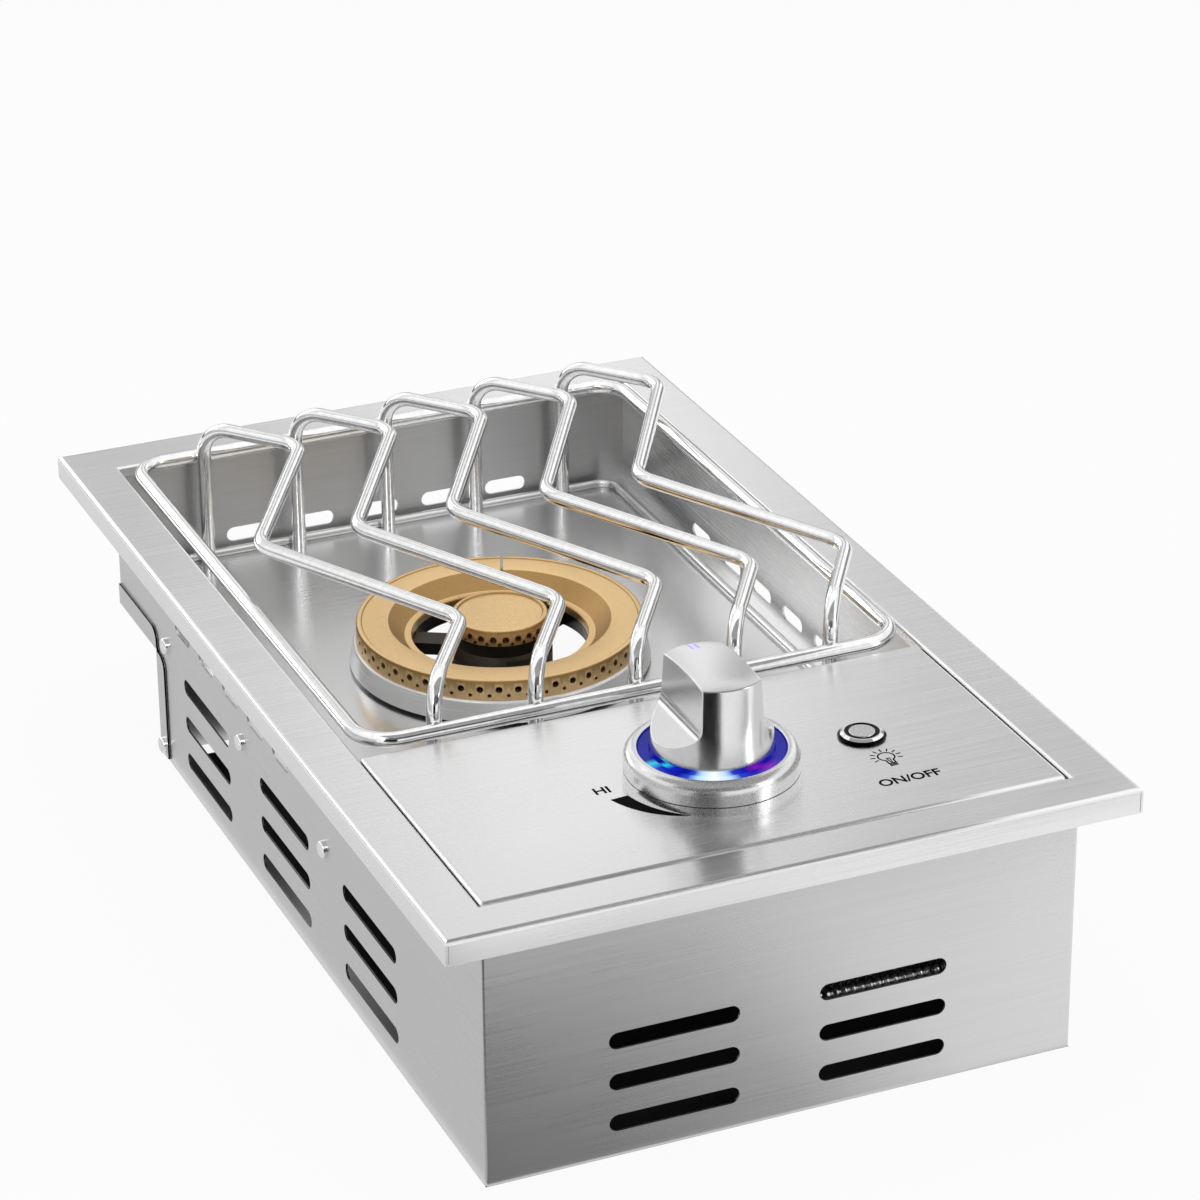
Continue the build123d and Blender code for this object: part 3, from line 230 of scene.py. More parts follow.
def painted_gap_shadow(tree, coords, colour, beyond):
    """Paints shadow on the cut edges of the flanges that stand further out along X than a limit, in metres:
    they turn near black, as the shadow gap between flange and box.
    """
    normal = add(tree, "ShaderNodeNewGeometry").outputs["Normal"]
    place = add(tree, "ShaderNodeSeparateXYZ", None, {0: coords})
    facing = add(tree, "ShaderNodeSeparateXYZ", None, {0: normal})
    out = add(tree, "ShaderNodeMath", {"operation": "ABSOLUTE"}, {0: place.outputs[0]})
    flank = add(tree, "ShaderNodeMath", {"operation": "ABSOLUTE"}, {0: facing.outputs[0]})
    outside = add(tree, "ShaderNodeMath", {"operation": "GREATER_THAN"}, {0: out.outputs[0], 1: beyond})
    edge = add(tree, "ShaderNodeMath", {"operation": "LESS_THAN"}, {0: flank.outputs[0], 1: 0.5})
    both = add(tree, "ShaderNodeMath", {"operation": "MULTIPLY"}, {
        0: outside.outputs[0], 1: edge.outputs[0],
    })
    # Painted shadow: the forward edges of the flanges are drawn near black.
    gap_shaded = add(tree, "ShaderNodeMix", {"data_type": "RGBA"}, {
        0: both.outputs[0], 6: colour, 7: linear("#161616"),
    })
    return gap_shaded.outputs[2]


def brushed_stainless(name, code, grain, across, roughness, beyond=None):
    """Rolled stainless sheet, belt brushed: long fine scratches that smear what they mirror across them."""
    material, tree, shader, coords = new_material(name, {"Metallic": 1.0, "Anisotropic": 0.7})
    scratches, colour, gloss = grained(
        tree, coords, grain, 3.0, shades(code, 0.96, 1.04), (roughness - 0.03, roughness + 0.03)
    )
    # Flange edges beyond the limit get a painted gap shadow.
    if beyond:
        colour = painted_gap_shadow(tree, coords, colour, beyond)
    patch = 90 * MM
    broad = speckle(tree, coords, (patch, patch, patch), 1.0)
    uneven = add(tree, "ShaderNodeMapRange", None, {
        0: broad, 1: NOISE_LOW, 2: NOISE_HIGH, 3: -0.02, 4: 0.02,
    })
    worn = add(tree, "ShaderNodeMath", {"operation": "ADD"}, {0: gloss, 1: uneven.outputs[0]})
    way = add(tree, "ShaderNodeCombineXYZ", None, dict(enumerate(across)))
    bump = add(tree, "ShaderNodeBump", None, {"Height": scratches, "Distance": 0.02 * MM, "Strength": 0.12})
    feed(shader, {
        "Base Color": colour, "Roughness": worn.outputs[0], "Tangent": way.outputs[0],
        "Normal": bump.outputs[0],
    })
    return material


def plain_metal(name, code, roughness, grain, height=0.002 * MM):
    """Drawn, cast or plated metal with a faint even grain in its gloss."""
    material, tree, shader, coords = new_material(name, {"Metallic": 1.0})
    fine, colour, gloss = grained(
        tree, coords, (grain, grain, grain), 3.0, shades(code, 0.93, 1.05),
        (roughness * 0.8, roughness * 1.2)
    )
    bump = add(tree, "ShaderNodeBump", None, {"Height": fine, "Distance": height, "Strength": 0.3})
    feed(shader, {"Base Color": colour, "Roughness": gloss, "Normal": bump.outputs[0]})
    return material


def matt_brass(name, code):
    """Machined brass, bead blasted: a fine sandy grain with small dark pits; slopes and flanks are drawn
    darker than the level tops, as painted shade.
    """
    material, tree, shader, coords = new_material(name, {"Metallic": 1.0})
    # The blasted grain is really finer, and is drawn this coarse so that it shows.
    grit = 0.5 * MM
    pit = 2.2 * MM
    sand, colour, gloss = grained(
        tree, coords, (grit, grit, grit), 4.0, shades(code, 0.84, 1.1), (0.38, 0.5)
    )
    pits = speckle(tree, coords, (pit, pit, pit), 5.0)
    pitted = add(tree, "ShaderNodeMapRange", None, {0: pits, 1: 0.28, 2: 0.40, 3: 0.88, 4: 1.0})
    normal = add(tree, "ShaderNodeNewGeometry").outputs["Normal"]
    facing = add(tree, "ShaderNodeSeparateXYZ", None, {0: normal})
    flank = linear("#eaeaea")
    slope = linear("#b4a894")
    level = linear("#ffffff")
    # Painted shade by facing: slopes brownish dark, upright flanks a little dark, level tops in full colour.
    facing_shade = add(tree, "ShaderNodeValToRGB", None, {0: facing.outputs[2]}, (
        (0.0, flank), (0.1, flank), (0.25, slope), (0.88, slope), (0.97, level), (1.0, level),
    ))
    for shade in (pitted, facing_shade):
        colour = add(tree, "ShaderNodeMix", {"data_type": "RGBA", "blend_type": "MULTIPLY"}, {
            0: 1.0, 6: colour, 7: shade.outputs[0],
        }).outputs[2]
    bump = add(tree, "ShaderNodeBump", None, {"Height": sand, "Distance": 0.03 * MM, "Strength": 0.3})
    feed(shader, {"Base Color": colour, "Roughness": gloss, "Normal": bump.outputs[0]})
    return material


def footed_metal(name, code, roughness, foot, metallic=1.0):
    """Smooth turned metal that is black below a height in metres: painted shadow at the foot of the burner
    base, and a black band at the foot of the button flange.
    """
    material, tree, shader, coords = new_material(name, {"Metallic": metallic})
    rings = (40 * MM, 40 * MM, 0.5 * MM)
    _, bright, gloss = grained(
        tree, coords, rings, 2.0, shades(code, 0.95, 1.03), (roughness * 0.85, roughness * 1.15)
    )
    height = add(tree, "ShaderNodeSeparateXYZ", None, {0: coords}).outputs[2]
    bare = add(tree, "ShaderNodeMath", {"operation": "GREATER_THAN"}, {0: height, 1: foot})
    # Black below the foot height: painted shadow on the burner base.
    colour = add(tree, "ShaderNodeMix", {"data_type": "RGBA"}, {
        0: bare.outputs[0], 6: linear("#101010"), 7: bright,
    })
    feed(shader, {"Base Color": colour.outputs[2], "Roughness": gloss})
    return material


def dull_solid(name, code, roughness, grain, metallic=0.0, specular=0.5):
    """Moulded plastic, rubber, ceramic, iron or ink: one colour with a slight mottle and an even gloss."""
    material, tree, shader, coords = new_material(name, {
        "Metallic": metallic, "Specular IOR Level": specular,
    })
    mottle, colour, gloss = grained(
        tree, coords, (grain, grain, grain), 3.0, shades(code, 0.85, 1.12),
        (roughness * 0.85, roughness * 1.15)
    )
    bump = add(tree, "ShaderNodeBump", None, {"Height": mottle, "Distance": 0.02 * MM, "Strength": 0.2})
    feed(shader, {"Base Color": colour, "Roughness": gloss, "Normal": bump.outputs[0]})
    return material


def lit_diffuser(name, code):
    """Clear acrylic ring lit by lamps below it: deep blue, with white, cyan and violet spots over them."""
    material, tree, shader, coords = new_material(name, {
        "Roughness": 0.25, "Base Color": linear("#080a20"), "Specular IOR Level": 0.12,
    })
    centred = add(tree, "ShaderNodeMapping", None, {
        "Vector": coords, "Location": (-KNOB_AT.x, -KNOB_AT.y, 0),
    })
    parts = add(tree, "ShaderNodeSeparateXYZ", None, {0: centred.outputs[0]})
    angle = add(tree, "ShaderNodeMath", {"operation": "ARCTAN2"}, {
        0: parts.outputs[1], 1: parts.outputs[0],
    })
    share = add(tree, "ShaderNodeMapRange", None, {0: angle.outputs[0], 1: -math.pi, 2: math.pi})
    # Shares of a turn that starts at the left and runs by the front, the right and the rear.
    spots = (
        (0.00, "#0a1590"), (0.02, "#38c8e8"), (0.045, "#1424c0"), (0.10, code), (0.125, "#2a50d0"),
        (0.15, "#bfe8ff"), (0.186, "#ffffff"), (0.225, "#bfe4ff"), (0.25, "#2a40c8"), (0.29, "#1a14a8"),
        (0.33, "#7a1cb0"), (0.37, "#2010a0"), (0.42, code), (0.75, "#03056a"), (0.97, code),
        (1.00, "#0a1590"),
    )
    ramp = add(tree, "ShaderNodeValToRGB", None, {0: share.outputs[0]}, [
        (place, linear(spot)) for place, spot in spots
    ])
    feed(shader, {"Emission Color": ramp.outputs[0], "Emission Strength": 1.0})
    return material


def pointer_enamel(name):
    """Translucent enamel in the pointer slot: violet edges round a pale middle, lit from inside."""
    material, tree, shader, coords = new_material(name, {"Roughness": 0.3, "Base Color": linear("#5a50c8")})
    low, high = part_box("knob_pointer")
    parts = add(tree, "ShaderNodeSeparateXYZ", None, {0: coords})
    share = add(tree, "ShaderNodeMapRange", None, {0: parts.outputs[0], 1: low.x, 2: high.x})
    across = ((0.0, "#6a5cf0"), (0.35, "#e8e6ff"), (0.6, "#d8d4ff"), (1.0, "#8478f4"))
    ramp = add(tree, "ShaderNodeValToRGB", None, {0: share.outputs[0]}, [
        (place, linear(shade)) for place, shade in across
    ])
    feed(shader, {"Emission Color": ramp.outputs[0], "Emission Strength": 0.8})
    return material


def finish_nodes(material, *names):
    """Gives a material to CAD nodes."""
    for name in names:
        NODES[name].data.materials.clear()
        NODES[name].data.materials.append(material)


def at(*place):
    """A move to a place, in metres."""
    return Matrix.Translation(place)


def new_piece(name, mesh, material, body, stands_for=()):
    """Links a mesh as a piece that rides on a body."""
    mesh.name = name
    mesh.materials.clear()
    mesh.materials.append(material)
    mesh.shade_smooth()
    mesh.set_sharp_from_angle(angle=SHARP_ANGLE)
    piece = bpy.data.objects.new(name, mesh)
    bpy.context.scene.collection.objects.link(piece)
    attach(piece, body)
    if stands_for:
        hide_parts(*stands_for)
    return piece


def mesh_of(shape):
    """The bmesh as a new mesh, with its normals outwards."""
    bmesh.ops.recalc_face_normals(shape, faces=shape.faces)
    mesh = bpy.data.meshes.new("work")
    shape.to_mesh(mesh)
    shape.free()
    return mesh


def settled(name, data):
    """The mesh that a curve or a text makes."""
    holder = bpy.data.objects.new(name, data)
    bpy.context.scene.collection.objects.link(holder)
    depsgraph = bpy.context.evaluated_depsgraph_get()
    mesh = bpy.data.meshes.new_from_object(holder.evaluated_get(depsgraph))
    bpy.data.objects.remove(holder)
    return mesh


def turned(outline, centre, steps):
    """Spins a closed outline of radius and height points about an upright axis."""
    shape = bmesh.new()
    ring = [shape.verts.new((centre.x + radius, centre.y, height)) for radius, height in outline]
    edges = [shape.edges.new(pair) for pair in zip(ring, ring[1:] + ring[:1])]
    bmesh.ops.spin(
        shape, geom=ring + edges, cent=(centre.x, centre.y, 0), axis=(0, 0, 1), angle=math.tau, steps=steps,
        use_merge=True
    )
    bmesh.ops.remove_doubles(shape, verts=shape.verts, dist=WELD)
    bmesh.ops.dissolve_degenerate(shape, edges=shape.edges, dist=WELD)
    return mesh_of(shape)


def ring_of_drills(shape, centre, height, reach, length, radius, count, sides, start=0.0):
    """Adds a ring of level cylinders that point at an upright axis."""
    for k in range(count):
        place = (
            at(centre.x, centre.y, height)
            @ Matrix.Rotation(start + math.tau * k / count, 4, "Z")
            @ at(reach, 0, 0)
            @ Matrix.Rotation(math.pi / 2, 4, "Y")
        )
        bmesh.ops.create_cone(
            shape, cap_ends=True, segments=sides, radius1=radius, radius2=radius, depth=length, matrix=place
        )


def drilled(body_mesh, tool_mesh):
    """The first mesh with the second cut out of it."""
    body = bpy.data.objects.new("drilled", body_mesh)
    tool = bpy.data.objects.new("drills", tool_mesh)
    for item in (body, tool):
        bpy.context.scene.collection.objects.link(item)
    cut = body.modifiers.new("cut", "BOOLEAN")
    cut.operation = "DIFFERENCE"
    cut.solver = "EXACT"
    cut.object = tool
    depsgraph = bpy.context.evaluated_depsgraph_get()
    mesh = bpy.data.meshes.new_from_object(body.evaluated_get(depsgraph))
    for item in (body, tool):
        bpy.data.objects.remove(item)
    return mesh


class SIDEBURNER_OT_sheet_metal(bpy.types.Operator):
    """Finish the rim, panel, box and well sheets"""

    bl_idname = "sideburner.sheet_metal"
    bl_label = "Sheet metal"

    def execute(self, context):
        finish = context.scene.burner_finish
        # Real scratches are a few hundredths of a millimetre wide, and are drawn coarser so that they show.
        scratch = 0.4 * MM
        run = 70 * MM
        flat_grain = (run, scratch, scratch)
        flat_across = (0.02, 0.5, 0.85)
        wall_grain = (run, run, scratch)
        wall_across = (0.03, 0.03, 1.0)
        past_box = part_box("body_wrap")[1].x + 0.05 * MM
        rim = brushed_stainless("brushed_stainless_rim", finish.steel, flat_grain, flat_across, 0.25)
        finish_nodes(rim, "top_frame", "control_panel")
        # Box sheets drawn darker, as painted shade.
        box = brushed_stainless("brushed_stainless_box", finish.shaded_box_steel, wall_grain, wall_across, 0.30)
        finish_nodes(box, "body_wrap", "panel_bracket_left", "panel_bracket_right", "valve_bracket")
        rear = brushed_stainless(
            "brushed_stainless_rear", finish.shaded_box_steel, wall_grain, wall_across, 0.36, past_box
        )
        finish_nodes(rear, "rear_panel")
        # Well and tray drawn lighter, as painted light.
        well = brushed_stainless("brushed_stainless_well", finish.lit_well_steel, wall_grain, wall_across, 0.16)
        finish_nodes(well, "well_deck")
        tray = brushed_stainless(
            "bright_rolled_stainless_tray", finish.lit_tray_steel, flat_grain, flat_across, 0.24
        )
        finish_nodes(tray, "drip_tray")
        plated = plain_metal("zinc_plated_screw_steel", "#f0f0f0", 0.15, 0.8 * MM)
        finish_nodes(plated, "screws_left", "screws_right")
        return {"FINISHED"}


class SIDEBURNER_OT_grate(bpy.types.Operator):
    """Finish the bent wire grate"""

    bl_idname = "sideburner.grate"
    bl_label = "Grate"

    def execute(self, context):
        wire = plain_metal("polished_stainless_wire", context.scene.burner_finish.wire, 0.10, 3.0 * MM)
        finish_nodes(wire, "grate_frame", *["grate_rod_%d" % k for k in range(1, 6)])
        return {"FINISHED"}


class SIDEBURNER_OT_burner(bpy.types.Operator):
    """Make the ported brass caps and finish the castings below them"""

    bl_idname = "sideburner.burner"
    bl_label = "Burner"

    def execute(self, context):
        sizes = context.scene.burner_sizes
        brass = matt_brass("blasted_brass_caps", context.scene.burner_finish.brass)
        self.outer_cap(sizes, brass)
        self.inner_cap(sizes, brass)
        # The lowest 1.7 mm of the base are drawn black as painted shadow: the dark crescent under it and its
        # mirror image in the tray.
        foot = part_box("burner_base")[0].z + 1.7 * MM
        coated = footed_metal("clear_coated_aluminium_base", "#f4f4f4", 0.24, foot, 0.45)
        finish_nodes(coated, "burner_base")
        finish_nodes(dull_solid("dark_cast_iron", "#37322c", 0.38, 0.9 * MM, 0.7), "burner_body")
        finish_nodes(dull_solid("glazed_ceramic_electrode", "#e8e4da", 0.2, 2.0 * MM), "igniter_electrode")
        plated = plain_metal("zinc_plated_tube", "#b8b8b4", 0.3, 1.5 * MM)
        finish_nodes(plated, "inner_venturi", "ring_venturi", "inner_shutter", "ring_shutter")
        return {"FINISHED"}

    def outer_cap(self, sizes, brass):
        """A ring with a raised edge, a slope down to the ledge round its throat, ports and a slit."""
        low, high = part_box("outer_cap")
        reach = (high.x - low.x) / 2
        top = high.z
        wall = 3.3 * MM
        roof = top - 3.4 * MM
        shelf = top - 0.5 * MM
        ledge = top - 8.0 * MM
        skirt = low.z + 2.0 * MM
        throat = 42.0 * MM
        slope_foot = 45.3 * MM
        slope_head = 53.3 * MM
        outline = [
            (reach - 0.2 * MM, skirt), (reach, skirt + 0.2 * MM), (reach, top - 1.0 * MM),
            (reach - 0.35 * MM, top - 0.35 * MM), (reach - 1.0 * MM, top), (reach - 2.2 * MM, top),
            (reach - 2.5 * MM, top - 0.1 * MM), (reach - 2.9 * MM, shelf), (slope_head, shelf),
            (slope_head - 0.4 * MM, shelf - 0.2 * MM), (slope_foot + 0.5 * MM, ledge + 0.2 * MM),
            (slope_foot, ledge), (throat + 0.4 * MM, ledge), (throat, ledge - 0.4 * MM), (throat, low.z),
            (slope_foot, low.z), (slope_foot, low.z + 1.3 * MM), (slope_head + 0.2 * MM, roof),
            (reach - wall, roof), (reach - wall, skirt),
        ]
        drills = self.ports(
            sizes, sizes.outer_ports, reach - wall / 2, wall + 2 * MM, top - 4.6 * MM, top - 7.6 * MM
        )
        slit_length = 26 * MM
        slit_width = 1.3 * MM
        slit_height = 7.2 * MM
        slit = (
            at(BURNER_AT.x, BURNER_AT.y, top)
            @ Matrix.Rotation(sizes.slit_angle, 4, "Z")
            @ at(reach - 10 * MM, 0, 0)
            @ Matrix.Diagonal((slit_length, slit_width, slit_height, 1))
        )
        saw = bmesh.new()
        bmesh.ops.create_cube(saw, size=1.0, matrix=slit)
        mesh = drilled(drilled(turned(outline, BURNER_AT, 192), drills), mesh_of(saw))
        new_piece("outer_cap_ported", mesh, brass, "outer_cap", ("outer_cap",))

    def inner_cap(self, sizes, brass):
        """A dished disc on a hollow spigot, with ports."""
        low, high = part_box("inner_cap")
        reach = (high.x - low.x) / 2
        top = high.z
        dish = top - 0.8 * MM
        roof = top - 3.5 * MM
        seat = low.z + 4.0 * MM
        spigot = 18.7 * MM
        bore = spigot - 2.2 * MM
        outline = [
            (0, dish), (reach - 2.8 * MM, dish), (reach - 2.5 * MM, top - 0.3 * MM),
            (reach - 2.1 * MM, top), (reach - 1.0 * MM, top), (reach - 0.35 * MM, top - 0.35 * MM),
            (reach, top - 1.0 * MM), (reach, seat + 0.3 * MM), (reach - 0.3 * MM, seat), (spigot, seat),
            (spigot, low.z), (bore, low.z), (bore, roof), (0, roof),
        ]
        drills = self.ports(
            sizes, sizes.inner_ports, reach - 3 * MM, 8 * MM, top - 4.6 * MM, top - 6.9 * MM
        )
        mesh = drilled(turned(outline, BURNER_AT, 128), drills)
        new_piece("inner_cap_ported", mesh, brass, "inner_cap", ("inner_cap",))

    def ports(self, sizes, count, reach, length, main_height, pilot_height):
        """Drills for a ring of main ports, with a small port below each gap."""
        main_sides = 20
        pilot_sides = 14
        half_step = math.pi / count
        drills = bmesh.new()
        ring_of_drills(drills, BURNER_AT, main_height, reach, length, sizes.port_radius, count, main_sides)
        ring_of_drills(
            drills, BURNER_AT, pilot_height, reach, length, sizes.pilot_radius, count, pilot_sides, half_step
        )
        return mesh_of(drills)


class SIDEBURNER_OT_gas_line(bpy.types.Operator):
    """Make the corrugated gas hose and finish the gas fittings"""

    bl_idname = "sideburner.gas_line"
    bl_label = "Gas line"

    def execute(self, context):
        fitting = plain_metal("drawn_brass_fitting", "#c9a45c", 0.28, 1.0 * MM)
        finish_nodes(
            fitting, "inner_injector", "ring_injector", "gas_valve", "gas_inlet", "hose_nut_front",
            "hose_nut_rear"
        )
        finish_nodes(plain_metal("cast_aluminium_manifold", "#bcbcbc", 0.42, 1.4 * MM), "gas_manifold")
        plated = plain_metal("zinc_plated_pipe", "#bdbdb8", 0.3, 1.5 * MM)
        finish_nodes(plated, "gas_pipe", "inlet_locknut")
        finish_nodes(plain_metal("turned_stem_steel", "#b4b4b4", 0.25, 0.8 * MM), "valve_stem")
        finish_nodes(dull_solid("moulded_black_module", "#161616", 0.5, 0.7 * MM), "igniter_module")
        self.hose()
        return {"FINISHED"}

    def hose(self):
        """The corrugated hose from one nut to the other, with full crests and narrow valleys."""
        low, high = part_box("hose_nut_front")
        start = Vector(((low.x + high.x) / 2, low.y, (low.z + high.z) / 2))
        low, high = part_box("hose_nut_rear")
        end = Vector(((low.x + high.x) / 2, low.y, start.z))
        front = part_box("gas_hose")[0].y + HOSE_CREST
        route = (
            start, (start.x, front, start.z), (start.x + start.y - front, front, start.z),
            (end.x, front, start.z), end,
        )
        path = self.spline_points(route)
        pitch = HOSE_LENGTH / HOSE_RIBS
        fullness = 0.7
        sides = 28
        shape = bmesh.new()
        loop = None
        gone = 0.0
        for k, point in enumerate(path):
            before = path[max(k - 1, 0)]
            ahead = path[min(k + 1, len(path) - 1)] - before
            gone += (point - before).length
            wave = (0.5 - 0.5 * math.cos(math.tau * gone / pitch)) ** fullness
            radius = HOSE_ROOT + (HOSE_CREST - HOSE_ROOT) * wave
            place = at(*point) @ ahead.to_track_quat("Z", "Y").to_matrix().to_4x4()
            ring = bmesh.ops.create_circle(
                shape, cap_ends=False, segments=sides, radius=radius, matrix=place
            )
            edges = list({edge for vert in ring["verts"] for edge in vert.link_edges})
            if loop:
                bmesh.ops.bridge_loops(shape, edges=loop + edges)
            loop = edges
        steel = plain_metal("corrugated_stainless_hose", "#b0b0b0", 0.2, 1.0 * MM)
        mesh = mesh_of(shape)
        hose = new_piece("gas_hose_corrugated", mesh, steel, "cabinet", ("gas_hose",))

    def spline_points(self, route):
        """Points along the smooth spline that a route's corners steer."""
        curve = bpy.data.curves.new("route", "CURVE")
        curve.dimensions = "3D"
        curve.resolution_u = 90
        spline = curve.splines.new("NURBS")
        spline.points.add(len(route) - 1)
        for point, place in zip(spline.points, route):
            point.co = (*place, 1.0)
        spline.order_u = 3
        spline.use_endpoint_u = True
        line = settled("route", curve)
        path = [vert.co.copy() for vert in line.vertices]
        bpy.data.meshes.remove(line)
        return path


class SIDEBURNER_OT_knob(bpy.types.Operator):
    """Finish the knob, its bezel and the light ring"""

    bl_idname = "sideburner.knob"
    bl_label = "Knob and bezel"

    def execute(self, context):
        finish = context.scene.burner_finish
        chrome = plain_metal("satin_chromed_knob", finish.zinc, 0.18, 0.5 * MM, 0.001 * MM)
        finish_nodes(chrome, "control_knob")
        satin = plain_metal("blasted_chromed_bezel", finish.zinc, 0.27, 0.5 * MM, 0.0003 * MM)
        finish_nodes(satin, "knob_bezel", "bezel_base")
        finish_nodes(pointer_enamel("lit_pointer_enamel"), "knob_pointer")
        finish_nodes(lit_diffuser("lit_acrylic_ring", finish.glow), "light_ring")
        rubber = dull_solid("black_rubber_gasket", "#0c0c0c", 0.6, 0.6 * MM)
        finish_nodes(rubber, "bezel_gasket", "push_collar")
        finish_nodes(dull_solid("green_circuit_board", "#1c5a30", 0.4, 0.8 * MM), "led_board")
        finish_nodes(dull_solid("black_nylon_nut", "#151515", 0.5, 0.8 * MM), "bezel_nut", "button_nut")
        return {"FINISHED"}


class SIDEBURNER_OT_button(bpy.types.Operator):
    """Finish the lamp button"""

    bl_idname = "sideburner.button"
    bl_label = "Lamp button"

    def execute(self, context):
        # The flange is drawn black up to 1.7 mm above the panel.
        black_band_top = PANEL_TOP + 1.7 * MM
        finish_nodes(footed_metal("bright_chrome_flange", "#f4f4f4", 0.06, black_band_top), "button_housing")
        finish_nodes(dull_solid("black_acetal_ring", "#0a0a0a", 0.3, 0.6 * MM, 0.0, 0.1), "button_ring")
        finish_nodes(plain_metal("spun_steel_cap", "#cfcfcf", 0.25, 0.4 * MM), "button_cap")
        return {"FINISHED"}


class SIDEBURNER_OT_marks(bpy.types.Operator):
    """Print the wedge, the words and the lamp sign on the panel"""

    bl_idname = "sideburner.marks"
    bl_label = "Printed marks"

    def execute(self, context):
        marks = context.scene.burner_marks
        ink = dull_solid("black_screen_ink", "#040404", 0.7, 0.3 * MM, 0.0, 0.05)
        beside_wedge = (KNOB_AT.x - 49 * MM, KNOB_AT.y + 5 * MM)
        below_sign = (BUTTON_AT.x + 1.6 * MM, BUTTON_AT.y - 43 * MM)
        self.wedge(ink)
        self.word("word_high", marks.high_word, marks.word_height, beside_wedge, ink)
        self.word("word_lamp", marks.lamp_word, marks.word_height, below_sign, ink)
        self.lamp_sign(marks.stroke, ink)
        return {"FINISHED"}

    def wedge(self, ink):
        """A curved wedge round the bezel, wide at the high setting and thin towards the low one."""
        tip = 38.4 * MM
        inner = 40.7 * MM
        outer = 49.0 * MM
        wide_end = math.radians(-175.5)
        thin_end = math.radians(-128.0)
        shape = bmesh.new()
        bmesh.ops.create_grid(shape, x_segments=32, y_segments=1, size=0.5)
        for vert in shape.verts:
            along = vert.co.x + 0.5
            angle = wide_end + (thin_end - wide_end) * along
            near = tip + (inner - tip) * (1 - along) ** 1.5
            far = tip + (outer - tip) * (1 - along) ** 0.9
            radius = near + (far - near) * (vert.co.y + 0.5)
            vert.co = (
                KNOB_AT.x + radius * math.cos(angle), KNOB_AT.y + radius * math.sin(angle), PANEL_TOP
            )
        self.lift(shape, "flame_wedge", ink)

    def lift(self, shape, name, ink):
        """Gives flat faces on the panel the thickness of an ink film, as a piece."""
        film = 0.06 * MM
        meeting = 0.005 * MM
        bmesh.ops.remove_doubles(shape, verts=shape.verts, dist=meeting)
        raised = bmesh.ops.extrude_face_region(shape, geom=shape.faces[:])["geom"]
        verts = [part for part in raised if isinstance(part, bmesh.types.BMVert)]
        bmesh.ops.translate(shape, verts=verts, vec=(0, 0, film))
        new_piece(name, mesh_of(shape), ink, "cabinet")

    def word(self, name, text, height, place, ink):
        """A word in slightly thickened letters, centred on a place."""
        curve = bpy.data.curves.new(name, "FONT")
        curve.body = text
        curve.size = height
        curve.align_x = "CENTER"
        curve.align_y = "CENTER"
        curve.offset = 0.16 * MM
        flat = settled(name, curve)
        flat.transform(at(*place, PANEL_TOP))
        shape = bmesh.new()
        shape.from_mesh(flat)
        bpy.data.meshes.remove(flat)
        self.lift(shape, name, ink)

    def lamp_sign(self, stroke, ink):
        """A lamp with its coil, its screw and a fan of rays, drawn in strokes."""
        centre = Vector((BUTTON_AT.x + 1.0 * MM, BUTTON_AT.y - 21.5 * MM))
        bulb = 3.7 * MM
        neck = 1.75 * MM
        neck_angle = math.acos(neck / bulb)
        neck_head = -bulb * math.sin(neck_angle)
        neck_foot = -6.0 * MM
        coil = 0.7 * MM
        coil_head = -1.6 * MM
        coil_foot = -5.4 * MM
        screw = neck * 0.9
        screw_turns = 3
        screw_pitch = 1.0 * MM
        rays = 9
        ray_start = 5.2 * MM
        ray_end = 6.9 * MM
        first_ray = math.radians(-22)
        fan = math.radians(224)
        thin = stroke * 0.7
        shape = bmesh.new()

        def line(start, end, width=stroke):
            """One straight stroke between two points about the sign's centre."""
            along = Vector(end) - Vector(start)
            place = (
                at(*(centre + (Vector(start) + Vector(end)) / 2), PANEL_TOP)
                @ Matrix.Rotation(math.atan2(along.y, along.x), 4, "Z")
                @ Matrix.Diagonal((along.length + width, width, 1, 1))
            )
            bmesh.ops.create_grid(shape, x_segments=1, y_segments=1, size=0.5, matrix=place)

        way = Vector((math.cos(-neck_angle), math.sin(-neck_angle)))
        ends = [
            shape.verts.new((*(centre + way * radius), PANEL_TOP))
            for radius in (bulb - stroke / 2, bulb + stroke / 2)
        ]
        bmesh.ops.spin(
            shape, geom=ends + [shape.edges.new(ends)], cent=(*centre, 0), axis=(0, 0, 1),
            angle=math.pi + 2 * neck_angle, steps=48
        )
        for side in (-1, 1):
            line((side * neck, neck_head), (side * neck * 0.95, neck_foot))
            line((side * coil, coil_head), (side * coil / 2, coil_foot), thin)
        line((-coil, coil_head), (coil, coil_head), thin)
        for k in range(screw_turns):
            height = neck_foot - k * screw_pitch
            line((-screw, height - 0.4 * MM), (screw, height - 0.1 * MM))
        for k in range(rays):
            angle = first_ray + fan * k / (rays - 1)
            way = Vector((math.cos(angle), math.sin(angle)))
            line(way * ray_start, way * ray_end, stroke * 0.85)
        self.lift(shape, "lamp_sign", ink)


